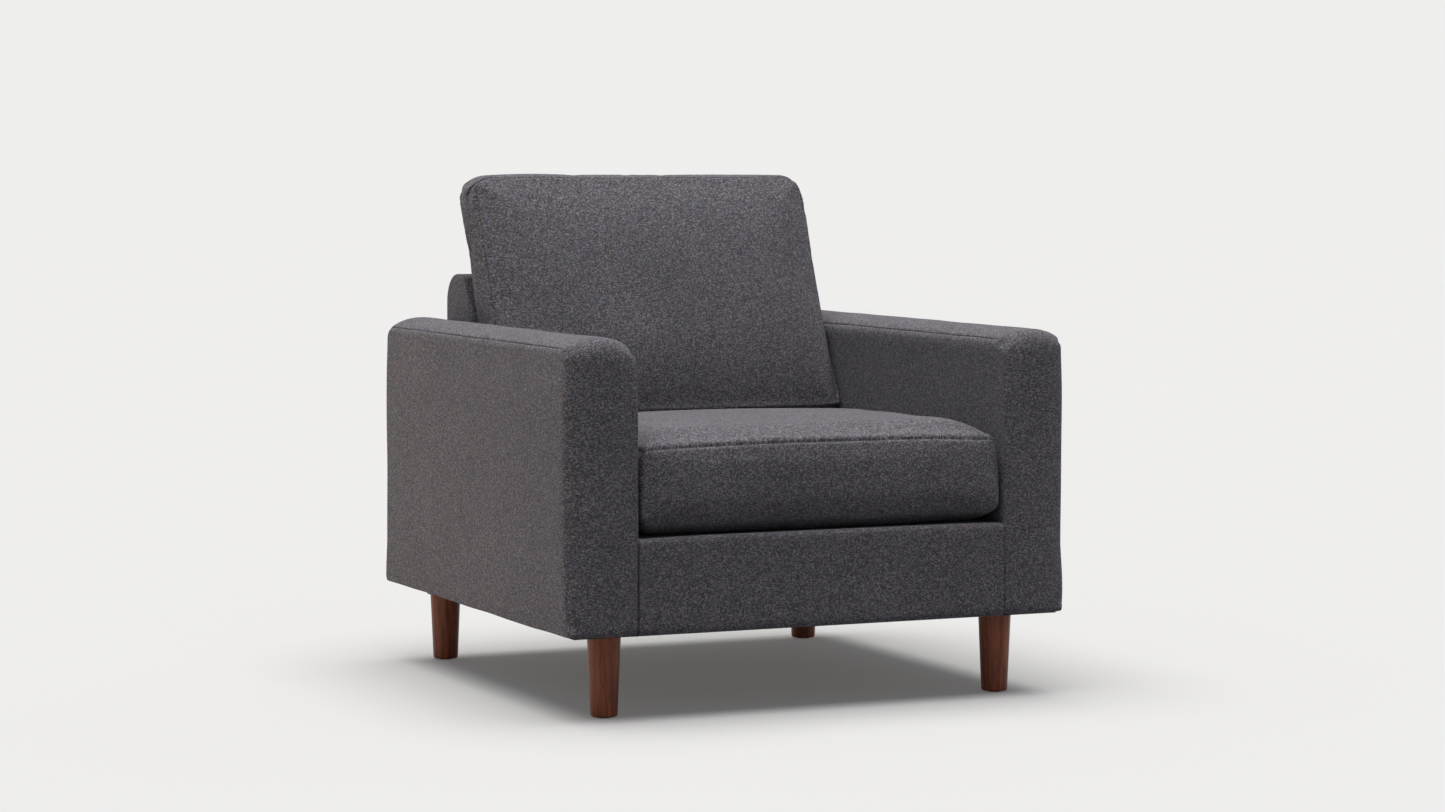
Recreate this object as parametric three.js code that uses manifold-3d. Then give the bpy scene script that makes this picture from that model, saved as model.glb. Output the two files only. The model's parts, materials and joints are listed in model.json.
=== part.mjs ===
// Upholstered armchair: a square-armed lounge chair with one loose seat cushion and one
// loose back cushion, standing on four round tapered wooden legs.
//
// Millimetres. +Z is up, the chair faces -Y, and +X is on the right of someone who looks at
// its front. The origin is on the floor under the middle of the chair.

import * as THREE from "three";
import { mergeVertices } from "three/addons/utils/BufferGeometryUtils.js";
import Module from "manifold-3d";

// ---- Driving dimensions --------------------------------------------------------------

// The whole chair
const overallWidth = 864;
const overallDepth = 866;
const clearance = 0.3; // between pieces that touch

// Legs
const legLength = 129.8;
const legTopRadius = 26.5;
const legFootRadius = 21;
const legChamfer = 2.5;
const legBehindFrontPost = 37.8; // leg centre from the inner face of the front post
const legBeforeRearPost = 23.7;
const glideRadius = 12;
const glideThickness = 1.5;
const glideNailRadius = 1.2;
const glideNailLength = 12;
const boltRadius = 4;
const boltInLeg = 32;
const boltAboveNut = 3;
const nutBarrelRadius = 5.2;
const nutBarrelLength = 12;
const nutFlangeRadius = 9;
const nutFlangeThickness = 1.5;
const nutEdgeMargin = 0.7; // flange from the edge of its block

// Upholstery
const dustCoverThickness = 0.8;
const dustCoverInset = 14; // its edge from the outer faces of the chair
const coverWall = 2; // cloth with its backing
const hemWidth = 18; // cloth turned in under the frame
const armWidth = 116;
const armTop = 592; // floor to the top of the arm
const armEdge = 8; // rounding along the long seams
const armTopFrontRadius = 24;
const armTopRearRadius = 38;
const armPadding = 8;
const armTopPadding = 34;
const armFrontPadding = 16;
const deckTop = 281.5; // floor to the deck that the seat cushion lies on
const deckPadThickness = 10;
const frontEdgeRadius = 10;

// Timber and boards
const innerPanelThickness = 5;
const outerPanelThickness = 3;
const postThickness = 25;
const armRailHeight = 20;
const frontRailThickness = 28;
const springRailThickness = 28;
const springRailHeight = 70;
const rearRailThickness = 28;
const rearRailHeight = 100;
const cornerBlockHeight = 40;

// Seat springs
const springCount = 4;
const springSideGap = 86.6; // outermost springs from the arm frames
const springWidth = 60;
const springPitch = 38; // wanted distance between neighbouring bars
const springWireRadius = 1.75;
const springArch = 7; // rise of the middle above the ends
const springDrop = 12; // end of a spring below the top of its rail
const clipStripThickness = 2;
const clipStripHeight = 26;
const clipStripMargin = 20; // strip beyond the outermost springs
const clipWidth = 14;
const clipWall = 2;

// Back frame
const reclineDegrees = 21.8; // back cushion from upright
const backFrameTop = 664;
const backFrameTopDepth = 94.2; // front to rear, along its top
const backTopRearRadius = 50;
const backTopFrontRadius = 14;
const backBendRadius = 20;
const backBottomRadius = 9.5;
const backEdge = 8;
const backSideThickness = 22;
const backTopRailHeight = 55;
const backTopRailThickness = 22;
const backTopRailDrop = 9; // rail below the timber's top edge
const webbingThickness = 1.5;
const webbingWidth = 50;
const webbingAcross = 3; // straps from side to side
const webbingUp = 3; // straps from top to bottom

// Seat cushion
const seatCushionHeight = 147; // along its edges; its crown stands higher
const seatSideGap = 7;
const seatRearGap = 6;
const seatEdge = 16;
const seatFrontRadius = 20;
const seatRearTopRadius = 40;

// Back cushion
const backCushionDepth = 101.7; // measured along the floor
const backCushionTop = 836;
const backSideGap = 10;
const backCushionEdge = 20;
const backCushionTopRadius = 42;
const backCushionBottomRadius = 21.5;

// Zips
const seatZipMargin = 49; // from each end of the zip to the end of its cushion
const backZipMargin = 56;
const zipWidth = 8;
const zipThickness = 1.2;
const sliderLength = 12;
const sliderThickness = 2.6; // stands out of the cover by this much
const pullLength = 20;
const pullWidth = 6;
const pullThickness = 1.2;

// ---- Places worked out from the dimensions ---------------------------------------------

const front = -overallDepth / 2;
const rear = overallDepth / 2;
const outerX = overallWidth / 2;
const innerX = outerX - armWidth;

const legBottom = glideThickness + clearance;
const legTop = legBottom + legLength;
const dustCoverBottom = legTop + clearance;
const underside = dustCoverBottom + dustCoverThickness + clearance;
const frameBottom = underside + coverWall + clearance;

const armSkin = coverWall + clearance + armPadding + clearance; // cloth and foam on the frame
const frameInnerX = innerX + armSkin;
const frameOuterX = outerX - armSkin;
const frameFront = front + armSkin - armPadding + armFrontPadding;
const frameRear = rear - armSkin;
const armFrameTop = armTop - coverWall - armTopPadding - 2 * clearance;
const postInnerX = frameInnerX + innerPanelThickness + clearance;
const postOuterX = frameOuterX - outerPanelThickness - clearance;

const railTop = deckTop - deckPadThickness - clearance;
const frontRailRear = frameFront + frontRailThickness;
const seatBottom = deckTop + clearance;
const seatTop = seatBottom + seatCushionHeight;
const backCushionBottom = seatTop + clearance;

const recline = THREE.MathUtils.degToRad(reclineDegrees);
const slope = Math.tan(recline); // rearward travel for each millimetre of height
const backFrameFront = rear - backFrameTopDepth - slope * (backFrameTop - backCushionBottom);
const backCushionRear = backFrameFront - clearance; // at its foot, as the next one is
const backCushionFront = backCushionRear - backCushionDepth;
const seatRear = backFrameFront - seatRearGap;
const springRailRear = backFrameFront - clearance;
const springRailFront = springRailRear - springRailThickness;

const legX = postInnerX + nutFlangeRadius + nutEdgeMargin;
const legFrontY = frameFront + postThickness + legBehindFrontPost;
const legRearY = frameRear - postThickness - legBeforeRearPost;

// ---- Finishes ----------------------------------------------------------------------------

const finishes = {
  cloth: { color: 0x4c4a4f, roughness: 0.95, metalness: 0 },
  walnut: { color: 0x55301f, roughness: 0.5, metalness: 0 },
  timber: { color: 0xc9a26b, roughness: 0.8, metalness: 0 },
  board: { color: 0xa9814f, roughness: 0.85, metalness: 0 },
  foam: { color: 0xe8dfc4, roughness: 1, metalness: 0 },
  felt: { color: 0x9b958a, roughness: 1, metalness: 0 },
  webbing: { color: 0x2f2a26, roughness: 0.9, metalness: 0 },
  dustCloth: { color: 0x1d1d1f, roughness: 1, metalness: 0 },
  springSteel: { color: 0x6f7377, roughness: 0.45, metalness: 1 },
  zincSteel: { color: 0xa9adb0, roughness: 0.35, metalness: 1 },
  nylon: { color: 0x26262a, roughness: 0.6, metalness: 0 },
};

const chair = new THREE.Group();

function addPiece(name, geometry, finish) {
  const piece = new THREE.Mesh(geometry, new THREE.MeshStandardMaterial(finishes[finish]));
  piece.name = name;
  chair.add(piece);
  return piece;
}

// ---- Solids --------------------------------------------------------------------------------

const wasm = await Module();
wasm.setup();

// A closed geometry as a solid that can be cut and joined.
function solidOf(geometry) {
  const bare = new THREE.BufferGeometry();
  bare.setAttribute("position", geometry.getAttribute("position").clone());
  if (geometry.index) {
    bare.setIndex(geometry.index.clone());
  }
  const merged = mergeVertices(bare, 1e-4);
  return new wasm.Manifold(
    new wasm.Mesh({
      numProp: 3,
      vertProperties: new Float32Array(merged.getAttribute("position").array),
      triVerts: new Uint32Array(merged.index.array),
    }),
  );
}

// A solid back as a geometry for a mesh.
function geometryOf(solid) {
  const mesh = solid.getMesh();
  const geometry = new THREE.BufferGeometry();
  geometry.setAttribute("position", new THREE.BufferAttribute(mesh.vertProperties, 3));
  geometry.setIndex(new THREE.BufferAttribute(mesh.triVerts, 1));
  geometry.computeVertexNormals();
  return geometry;
}

function subtract(whole, ...cuts) {
  return geometryOf(cuts.reduce((rest, cut) => rest.subtract(solidOf(cut)), solidOf(whole)));
}

function join(first, ...others) {
  return geometryOf(others.reduce((sum, other) => sum.add(solidOf(other)), solidOf(first)));
}

// A box between two corners.
function boxBetween(low, high) {
  const size = high.map((value, axis) => value - low[axis]);
  const middle = high.map((value, axis) => (value + low[axis]) / 2);
  return new THREE.BoxGeometry(...size).translate(...middle);
}

// Two distances from the middle of the chair, as the lower and the higher X on one side.
function spanX(side, near, far) {
  return [Math.min(side * near, side * far), Math.max(side * near, side * far)];
}

// A convex outline with rounded corners. Each corner is [across, up, radius], anticlockwise.
function roundedShape(corners) {
  const shape = new THREE.Shape();
  corners.forEach(([across, up, radius], index) => {
    const corner = new THREE.Vector2(across, up);
    const before = new THREE.Vector2(...corners.at(index - 1)).sub(corner).normalize();
    const after = new THREE.Vector2(...corners[(index + 1) % corners.length]).sub(corner).normalize();
    if (radius <= 0) {
      shape[index ? "lineTo" : "moveTo"](across, up);
      return;
    }
    const halfAngle = Math.acos(THREE.MathUtils.clamp(before.dot(after), -1, 1)) / 2;
    const reach = radius / Math.tan(halfAngle);
    const middle = before.clone().add(after).normalize();
    const centre = corner.clone().addScaledVector(middle, radius / Math.sin(halfAngle));
    const start = corner.clone().addScaledVector(before, reach).sub(centre);
    const end = corner.clone().addScaledVector(after, reach).sub(centre);
    shape.absarc(centre.x, centre.y, radius, start.angle(), end.angle(), false);
  });
  shape.closePath();
  return shape;
}

// The same outline moved inwards, with radii that shrink to match.
function insetCorners(corners, distance) {
  const count = corners.length;
  const edges = corners.map(([across, up], index) => {
    const [nextAcross, nextUp] = corners[(index + 1) % count];
    const along = new THREE.Vector2(nextAcross - across, nextUp - up).normalize();
    const inward = new THREE.Vector2(-along.y, along.x);
    return { point: new THREE.Vector2(across, up).addScaledVector(inward, distance), along };
  });
  return corners.map(([, , radius], index) => {
    const last = edges.at(index - 1);
    const next = edges[index];
    const gap = next.point.clone().sub(last.point);
    const travel = gap.cross(next.along) / last.along.cross(next.along);
    const corner = last.point.clone().addScaledVector(last.along, travel);
    return [corner.x, corner.y, Math.max(radius - distance, 0)];
  });
}

// A side view, given as a shape of Y and Z, carried across the chair from one X to another.
// Its edges at both ends are rounded by the edge size.
function carriedAcross(shape, [lowX, highX], edge = 0, curveSegments = 2) {
  const geometry = new THREE.ExtrudeGeometry(shape, {
    depth: highX - lowX - 2 * edge,
    bevelEnabled: edge > 0,
    bevelThickness: edge,
    bevelSize: edge,
    bevelOffset: -edge,
    bevelSegments: 2,
    curveSegments,
  });
  const sideView = new THREE.Matrix4().makeBasis(
    new THREE.Vector3(0, 1, 0),
    new THREE.Vector3(0, 0, 1),
    new THREE.Vector3(1, 0, 0),
  );
  return geometry.applyMatrix4(sideView).translate(lowX + edge, 0, 0);
}

// A padded form: a rounded side view with rounded ends, moved inwards by the inset.
// The ends are never rounder than the tightest corner of the side view.
function paddedForm(corners, [lowX, highX], edge, inset = 0) {
  const tightest = Math.min(...corners.map((corner) => corner[2]));
  const shape = roundedShape(insetCorners(corners, inset));
  return carriedAcross(shape, [lowX + inset, highX - inset], Math.min(edge, tightest - 0.5) - inset);
}

// The largest corner radius that still covers a square frame corner lying so far in from
// the two faces, with a skin of this thickness left over it.
function roundingOver(insetA, insetB, skin) {
  const sum = insetA + insetB - skin;
  return sum + Math.sqrt(Math.max(sum ** 2 - insetA ** 2 - insetB ** 2 + skin ** 2, 0));
}

// A turned piece. The profile is [radius, height] from the bottom of the axis to its top.
function turned(profile, segments) {
  const points = profile.map(([radius, height]) => new THREE.Vector2(radius, height));
  return new THREE.LatheGeometry(points, segments).rotateX(Math.PI / 2);
}

// ---- Timber frame --------------------------------------------------------------------------

function addRail(name, [lowX, highX], [lowY, highY], [lowZ, highZ], finish = "timber") {
  const rail = new THREE.BoxGeometry(highX - lowX, highY - lowY, highZ - lowZ);
  const piece = addPiece(name, rail, finish);
  piece.position.set((lowX + highX) / 2, (lowY + highY) / 2, (lowZ + highZ) / 2);
}

function addSeatRails() {
  const railEnd = frameInnerX - clearance;
  addRail("base_front_rail", [-railEnd, railEnd], [frameFront, frontRailRear], [frameBottom, railTop]);
  addRail(
    "base_spring_rail",
    [-railEnd, railEnd],
    [springRailFront, springRailRear],
    [railTop - springRailHeight, railTop],
  );
}

function addArmFrame(sideName, side) {
  const inner = spanX(side, frameInnerX, frameInnerX + innerPanelThickness);
  const outer = spanX(side, frameOuterX - outerPanelThickness, frameOuterX);
  const between = spanX(side, postInnerX, postOuterX);
  const railBottom = armFrameTop - armRailHeight;
  const postTop = railBottom - clearance;
  const length = [frameFront, frameRear];
  const height = [frameBottom, armFrameTop];
  const postHeight = [frameBottom, postTop];
  addRail(`${sideName}_arm_inner_panel`, inner, length, height, "board");
  addRail(`${sideName}_arm_outer_panel`, outer, length, height, "board");
  const frontPost = [frameFront, frameFront + postThickness];
  const rearPost = [frameRear - postThickness, frameRear];
  addRail(`${sideName}_arm_front_post`, between, frontPost, postHeight);
  addRail(`${sideName}_arm_rear_post`, between, rearPost, postHeight);
  addRail(`${sideName}_arm_top_rail`, between, length, [railBottom, armFrameTop]);
}

// The block that a leg screws into, with a bore for the T-nut. It reaches from its post to
// as far beyond the leg.
function addCornerBlock(name, side, legY, legFromPost) {
  const [lowX, highX] = spanX(side, postInnerX, postOuterX);
  const halfLength = legFromPost - clearance;
  const low = [lowX, legY - halfLength, frameBottom];
  const high = [highX, legY + halfLength, frameBottom + cornerBlockHeight];
  const bore = turned(
    [
      [0, frameBottom - 1],
      [nutBarrelRadius + clearance, frameBottom - 1],
      [nutBarrelRadius + clearance, frameBottom + cornerBlockHeight + 1],
      [0, frameBottom + cornerBlockHeight + 1],
    ],
    12,
  ).translate(side * legX, legY, 0);
  addPiece(name, subtract(boxBetween(low, high), bore), "timber");
}

// ---- Back frame ------------------------------------------------------------------------------

// The side view of the back frame: upright behind the seat cushion, then leaning back.
// The sloping front can be moved in by its own amount.
function backCorners(frontInset, inset) {
  const lower = backFrameFront + frontInset;
  const slopeShift = frontInset / Math.cos(recline);
  const bendZ = backCushionBottom + (frontInset - slopeShift) / slope;
  const topZ = backFrameTop - inset;
  const topY = backFrameFront + slopeShift + slope * (topZ - backCushionBottom);
  const shrink = (radius, distance) => Math.max(radius - distance, 0);
  return [
    [lower, underside + inset, shrink(backBottomRadius, inset)],
    [rear - inset, underside + inset, shrink(backBottomRadius, inset)],
    [rear - inset, topZ, shrink(backTopRearRadius, inset)],
    [topY, topZ, shrink(backTopFrontRadius, inset)],
    [lower, bendZ, backBendRadius],
  ];
}

const backX = innerX - clearance;
const backTimberX = backX - coverWall - clearance;
const backTimberInset = coverWall + clearance;
const backTimberFront = coverWall + webbingThickness + 2 * clearance;

function addBackFrame() {
  const sideShape = roundedShape(backCorners(backTimberFront, backTimberInset));
  for (const [sideName, side] of [["left", -1], ["right", 1]]) {
    const span = spanX(side, backTimberX - backSideThickness, backTimberX);
    addPiece(`${sideName}_back_side`, carriedAcross(sideShape, span, backEdge - backTimberInset), "board");
  }
  const railEnd = backTimberX - backSideThickness - clearance;
  const railHigh = backFrameTop - backTimberInset - backTopRailDrop;
  const railLow = railHigh - backTopRailHeight;
  const slopeFoot = backFrameFront + backTimberFront / Math.cos(recline);
  const slopeY = (z) => slopeFoot + slope * (z - backCushionBottom);
  const railShape = roundedShape([
    [slopeY(railLow), railLow, 0],
    [slopeY(railLow) + backTopRailThickness, railLow, 0],
    [slopeY(railHigh) + backTopRailThickness, railHigh, 0],
    [slopeY(railHigh), railHigh, 0],
  ]);
  addPiece("back_top_rail", carriedAcross(railShape, [-railEnd, railEnd]), "timber");
  const rearRailBack = rear - backTimberInset;
  const bottomRailShape = roundedShape([
    [rearRailBack - rearRailThickness, frameBottom, 0],
    [rearRailBack, frameBottom, backBottomRadius - backTimberInset],
    [rearRailBack, frameBottom + rearRailHeight, 0],
    [rearRailBack - rearRailThickness, frameBottom + rearRailHeight, 0],
  ]);
  addPiece("back_bottom_rail", carriedAcross(bottomRailShape, [-railEnd, railEnd]), "timber");
}

// Elastic straps crossed over the sloping front of the back frame, sewn where they cross.
// They are made flat, with the foot of the slope at height 0, and then leaned back.
function addBackWebbing() {
  const halfSpan = backTimberX - backEdge;
  const topZ = backFrameTop - backTimberInset - backTopRailDrop;
  const height = (topZ - backCushionBottom - backBendRadius) / Math.cos(recline);
  const straps = [];
  for (let row = 0; row < webbingAcross; row += 1) {
    const low = (row / (webbingAcross - 1)) * (height - webbingWidth);
    straps.push(boxBetween([-halfSpan, low, 0], [halfSpan, low + webbingWidth, webbingThickness]));
  }
  for (let column = 0; column < webbingUp; column += 1) {
    const middle = ((column + 1) / (webbingUp + 1) - 0.5) * 2 * halfSpan;
    const halfWidth = webbingWidth / 2;
    straps.push(boxBetween([middle - halfWidth, 0, 0], [middle + halfWidth, height, webbingThickness]));
  }
  const webbing = addPiece("back_webbing", join(...straps), "webbing");
  const depthAlongFloor = (coverWall + clearance + webbingThickness) / Math.cos(recline);
  webbing.rotation.x = Math.PI / 2 - recline;
  webbing.position.set(
    0,
    backFrameFront + depthAlongFloor + slope * backBendRadius,
    backCushionBottom + backBendRadius,
  );
}

// ---- Seat springs ------------------------------------------------------------------------------

// A polyline as a curve whose stations are exactly its own points.
class StationCurve extends THREE.Curve {
  constructor(stations) {
    super();
    this.stations = stations;
  }

  getPoint(t) {
    const place = THREE.MathUtils.clamp(t, 0, 1) * (this.stations.length - 1);
    const index = Math.min(Math.floor(place), this.stations.length - 2);
    return this.stations[index].clone().lerp(this.stations[index + 1], place - index);
  }

  getUtoTmapping(u) {
    return u;
  }
}

const wireBehindRail = clearance + clipStripThickness + clipWall + clearance + springWireRadius;
const springStartY = frontRailRear + wireBehindRail;
const springEndY = springRailFront - wireBehindRail;
const springEndZ = railTop - springDrop;

// Bars across the chair, joined by half-round turns at alternate ends.
function springStations() {
  const run = springEndY - springStartY;
  const bars = Math.round(run / springPitch) + 1;
  const pitch = run / (bars - 1);
  const turnRadius = pitch / 2;
  const barHalf = springWidth / 2 - turnRadius;
  const rise = (y) => springArch * (1 - ((2 * (y - springStartY)) / run - 1) ** 2);
  const stations = [];
  const addStation = (x, y) => stations.push(new THREE.Vector3(x, y, springEndZ + rise(y)));
  for (let bar = 0; bar < bars; bar += 1) {
    const way = bar % 2 ? -1 : 1;
    const y = springStartY + bar * pitch;
    addStation(-way * barHalf, y);
    addStation(way * barHalf, y);
    if (bar < bars - 1) {
      for (let step = 1; step < 4; step += 1) {
        const angle = (step / 4) * Math.PI;
        addStation(way * (barHalf + turnRadius * Math.sin(angle)), y + turnRadius * (1 - Math.cos(angle)));
      }
    }
  }
  return stations;
}

function wireSection() {
  const section = new THREE.Shape();
  for (let corner = 0; corner < 6; corner += 1) {
    const angle = (corner / 6) * 2 * Math.PI;
    const x = springWireRadius * Math.cos(angle);
    const y = springWireRadius * Math.sin(angle);
    section[corner ? "lineTo" : "moveTo"](x, y);
  }
  section.closePath();
  return section;
}

const outerSpringX = frameInnerX - springSideGap - springWidth / 2;

function springX(index) {
  return ((2 * index) / (springCount - 1) - 1) * outerSpringX;
}

function addSeatSprings() {
  const stations = springStations();
  for (let index = 0; index < springCount; index += 1) {
    const geometry = new THREE.ExtrudeGeometry(wireSection(), {
      steps: stations.length - 1,
      extrudePath: new StationCurve(stations),
    });
    const spring = addPiece(`seat_spring_${index + 1}`, geometry, "springSteel");
    spring.position.x = springX(index);
  }
}

// A steel strip along a rail, with a hooked clip round the end bar of each spring.
function addClipStrip(name, railFace, wireY) {
  const way = Math.sign(wireY - railFace);
  const near = railFace + way * clearance;
  const far = near + way * clipStripThickness;
  const halfLength = outerSpringX + springWidth / 2 + clipStripMargin;
  const innerRadius = springWireRadius + clearance;
  const outerRadius = innerRadius + clipWall;
  const stripTop = springEndZ + outerRadius;
  const strip = boxBetween(
    [-halfLength, Math.min(near, far), stripTop - clipStripHeight],
    [halfLength, Math.max(near, far), stripTop],
  );
  const hooks = [];
  for (let index = 0; index < springCount; index += 1) {
    const ring = new THREE.Shape();
    ring.absarc(wireY, springEndZ, outerRadius, -Math.PI / 2 + 0.5, 1.5 * Math.PI - 0.5, false);
    ring.absarc(wireY, springEndZ, innerRadius, 1.5 * Math.PI - 0.5, -Math.PI / 2 + 0.5, true);
    ring.closePath();
    const middle = springX(index);
    hooks.push(carriedAcross(ring, [middle - clipWidth / 2, middle + clipWidth / 2], 0, 5));
    const rootEdge = wireY - way * (innerRadius + clipWall / 2);
    hooks.push(
      boxBetween(
        [middle - clipWidth / 2, Math.min(far, rootEdge) - (way > 0 ? 1 : 0), springEndZ - 1],
        [middle + clipWidth / 2, Math.max(far, rootEdge) + (way < 0 ? 1 : 0), springEndZ + 1],
      ),
    );
  }
  addPiece(name, join(strip, ...hooks), "zincSteel");
}

// ---- Fixed upholstery ---------------------------------------------------------------------------

// The arm's side view, anticlockwise from the bottom of the front.
function armCorners() {
  const limit = roundingOver(armSkin, armTop - armFrameTop, coverWall + 2 * clearance + 1);
  return [
    [front, underside, armSkin],
    [rear, underside, armSkin],
    [rear, armTop, Math.min(armTopRearRadius, limit)],
    [front, armTop, Math.min(armTopFrontRadius, limit)],
  ];
}

// The opening on the arm's inner face, below the deck, where the seat rails reach the frame.
function railWindow(side) {
  const [lowX, highX] = spanX(side, innerX - 1, frameInnerX - clearance);
  return boxBetween(
    [lowX, frameFront - clearance, underside - 1],
    [highX, springRailRear + clearance, railTop + clearance],
  );
}

function addArmUpholstery(sideName, side) {
  const span = spanX(side, innerX, outerX);
  const hollow = paddedForm(armCorners(), span, armEdge, coverWall);
  const [mouthLow, mouthHigh] = spanX(side, innerX + hemWidth, outerX - hemWidth);
  const mouth = boxBetween(
    [mouthLow, front + hemWidth, underside - 1],
    [mouthHigh, rear - hemWidth, frameBottom + 1],
  );
  const cover = subtract(paddedForm(armCorners(), span, armEdge), hollow, mouth, railWindow(side));
  addPiece(`${sideName}_arm_cover`, cover, "cloth");

  const foam = paddedForm(armCorners(), span, armEdge, coverWall + clearance);
  const [frameLow, frameHigh] = spanX(side, frameInnerX - clearance, frameOuterX + clearance);
  const frameSpace = boxBetween(
    [frameLow, frameFront - clearance, underside - 1],
    [frameHigh, frameRear + clearance, armFrameTop + clearance],
  );
  addPiece(`${sideName}_arm_padding`, subtract(foam, frameSpace, railWindow(side)), "foam");
}

// Cloth over the front rail, flush with the arm fronts, and the foam under it.
function addFrontRailUpholstery() {
  const span = [-(innerX - clearance), innerX - clearance];
  const topEnd = frontRailRear - clearance;
  const corners = [
    [front, underside, 0],
    [topEnd, underside, 0],
    [topEnd, deckTop, 0],
    [front, deckTop, frontEdgeRadius],
  ];
  const far = topEnd + 1;
  const hollow = [
    [front + coverWall, underside + coverWall, 0],
    [far, underside + coverWall, 0],
    [far, deckTop - coverWall, 0],
    [front + coverWall, deckTop - coverWall, frontEdgeRadius - coverWall],
  ];
  const wide = [span[0] - 1, span[1] + 1];
  const behindHem = boxBetween(
    [wide[0], front + hemWidth, underside - 1],
    [wide[1], far, underside + coverWall + 1],
  );
  const cover = subtract(
    carriedAcross(roundedShape(corners), span),
    carriedAcross(roundedShape(hollow), wide),
    behindHem,
  );
  addPiece("front_rail_cover", cover, "cloth");

  const skin = coverWall + clearance;
  const foam = [
    [front + skin, frameBottom, 0],
    [topEnd, frameBottom, 0],
    [topEnd, deckTop - skin, 0],
    [front + skin, deckTop - skin, frontEdgeRadius - skin],
  ];
  const railSpace = boxBetween(
    [wide[0], frameFront - clearance, frameBottom - 1],
    [wide[1], far, railTop + clearance],
  );
  addPiece("front_rail_padding", subtract(carriedAcross(roundedShape(foam), span), railSpace), "foam");
}

function addDeck() {
  const deckX = innerX - clearance;
  addRail(
    "deck_pad",
    [-deckX, deckX],
    [frontRailRear, backFrameFront - clearance],
    [deckTop - deckPadThickness, deckTop],
    "felt",
  );
}

function addBackCover() {
  const span = [-backX, backX];
  const hollow = carriedAcross(
    roundedShape(backCorners(coverWall, coverWall)),
    [span[0] + coverWall, span[1] - coverWall],
    backEdge - coverWall,
  );
  const mouth = boxBetween(
    [span[0] + hemWidth, backFrameFront + hemWidth, underside - 1],
    [span[1] - hemWidth, rear - hemWidth, frameBottom + 1],
  );
  const whole = carriedAcross(roundedShape(backCorners(0, 0)), span, backEdge);
  addPiece("back_frame_cover", subtract(whole, hollow, mouth), "cloth");
}

// ---- Legs and what holds them -------------------------------------------------------------------

function addDustCover() {
  const halfX = outerX - dustCoverInset;
  const halfY = rear - dustCoverInset;
  const sheet = roundedShape([
    [-halfX, -halfY, 0],
    [halfX, -halfY, 0],
    [halfX, halfY, 0],
    [-halfX, halfY, 0],
  ]);
  for (const side of [-1, 1]) {
    for (const legY of [legFrontY, legRearY]) {
      const hole = new THREE.Path();
      hole.absarc(side * legX, legY, boltRadius + clearance, 0, 2 * Math.PI, true);
      sheet.holes.push(hole);
    }
  }
  const geometry = new THREE.ExtrudeGeometry(sheet, {
    depth: dustCoverThickness,
    bevelEnabled: false,
    curveSegments: 6,
  });
  const piece = addPiece("dust_cover", geometry, "dustCloth");
  piece.position.z = dustCoverBottom;
}

// A tapered leg with a chamfered foot, bored at the top for its bolt and below for the glide's nail.
function legGeometry() {
  const nailBore = glideNailRadius + clearance;
  const nailBoreTop = glideThickness + glideNailLength + clearance;
  const boltBore = boltRadius + clearance;
  const boltBoreBottom = legTop - boltInLeg - clearance;
  return turned(
    [
      [0, nailBoreTop],
      [nailBore, nailBoreTop],
      [nailBore, legBottom],
      [legFootRadius - legChamfer, legBottom],
      [legFootRadius, legBottom + legChamfer],
      [legTopRadius, legTop],
      [boltBore, legTop],
      [boltBore, boltBoreBottom],
      [0, boltBoreBottom],
    ],
    24,
  );
}

function glideGeometry() {
  return turned(
    [
      [0, 0],
      [glideRadius, 0],
      [glideRadius, glideThickness],
      [glideNailRadius, glideThickness],
      [glideNailRadius, glideThickness + glideNailLength],
      [0, glideThickness + glideNailLength],
    ],
    12,
  );
}

const blockTop = frameBottom + cornerBlockHeight;

function boltGeometry() {
  const top = blockTop + clearance + nutFlangeThickness + boltAboveNut;
  return turned(
    [
      [0, legTop - boltInLeg],
      [boltRadius, legTop - boltInLeg],
      [boltRadius, top],
      [0, top],
    ],
    10,
  );
}

// A T-nut: a barrel in the block's bore and a flange on top of the block.
function nutGeometry() {
  const bore = boltRadius + clearance;
  const flangeBottom = blockTop + clearance;
  return turned(
    [
      [bore, blockTop - nutBarrelLength],
      [nutBarrelRadius, blockTop - nutBarrelLength],
      [nutBarrelRadius, flangeBottom],
      [nutFlangeRadius, flangeBottom],
      [nutFlangeRadius, flangeBottom + nutFlangeThickness],
      [bore, flangeBottom + nutFlangeThickness],
      [bore, blockTop - nutBarrelLength],
    ],
    12,
  );
}

function addLegAssembly(cornerName, side, legY, legFromPost) {
  const pieces = [
    addPiece(`${cornerName}_leg`, legGeometry(), "walnut"),
    addPiece(`${cornerName}_glide`, glideGeometry(), "nylon"),
    addPiece(`${cornerName}_leg_bolt`, boltGeometry(), "zincSteel"),
    addPiece(`${cornerName}_leg_nut`, nutGeometry(), "zincSteel"),
  ];
  for (const piece of pieces) {
    piece.position.set(side * legX, legY, 0);
  }
  addCornerBlock(`${cornerName}_corner_block`, side, legY, legFromPost);
}

// ---- Loose cushions -------------------------------------------------------------------------------

// A zip: the tape that fills the cover's slot, and the slider on it with its hanging pull.
// Each is made lying along X with the outside of the cover at height 0, facing up.
function zipTapeGeometry(length) {
  const half = length / 2 - clearance;
  const halfWidth = zipWidth / 2 - clearance;
  return boxBetween([-half, -halfWidth, -coverWall], [half, halfWidth, zipThickness - coverWall]);
}

function zipSliderGeometry() {
  const halfWidth = zipWidth / 2 - clearance;
  const under = zipThickness - coverWall + clearance;
  const body = boxBetween(
    [-sliderLength / 2, -halfWidth, under],
    [sliderLength / 2, halfWidth, sliderThickness],
  );
  const pull = boxBetween(
    [-pullWidth / 2, -halfWidth - pullLength, sliderThickness - pullThickness],
    [pullWidth / 2, 0, sliderThickness],
  );
  return join(body, pull);
}

function zipSlot(length) {
  return boxBetween([-length / 2, -zipWidth / 2, -coverWall - 1], [length / 2, zipWidth / 2, 1]);
}

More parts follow.
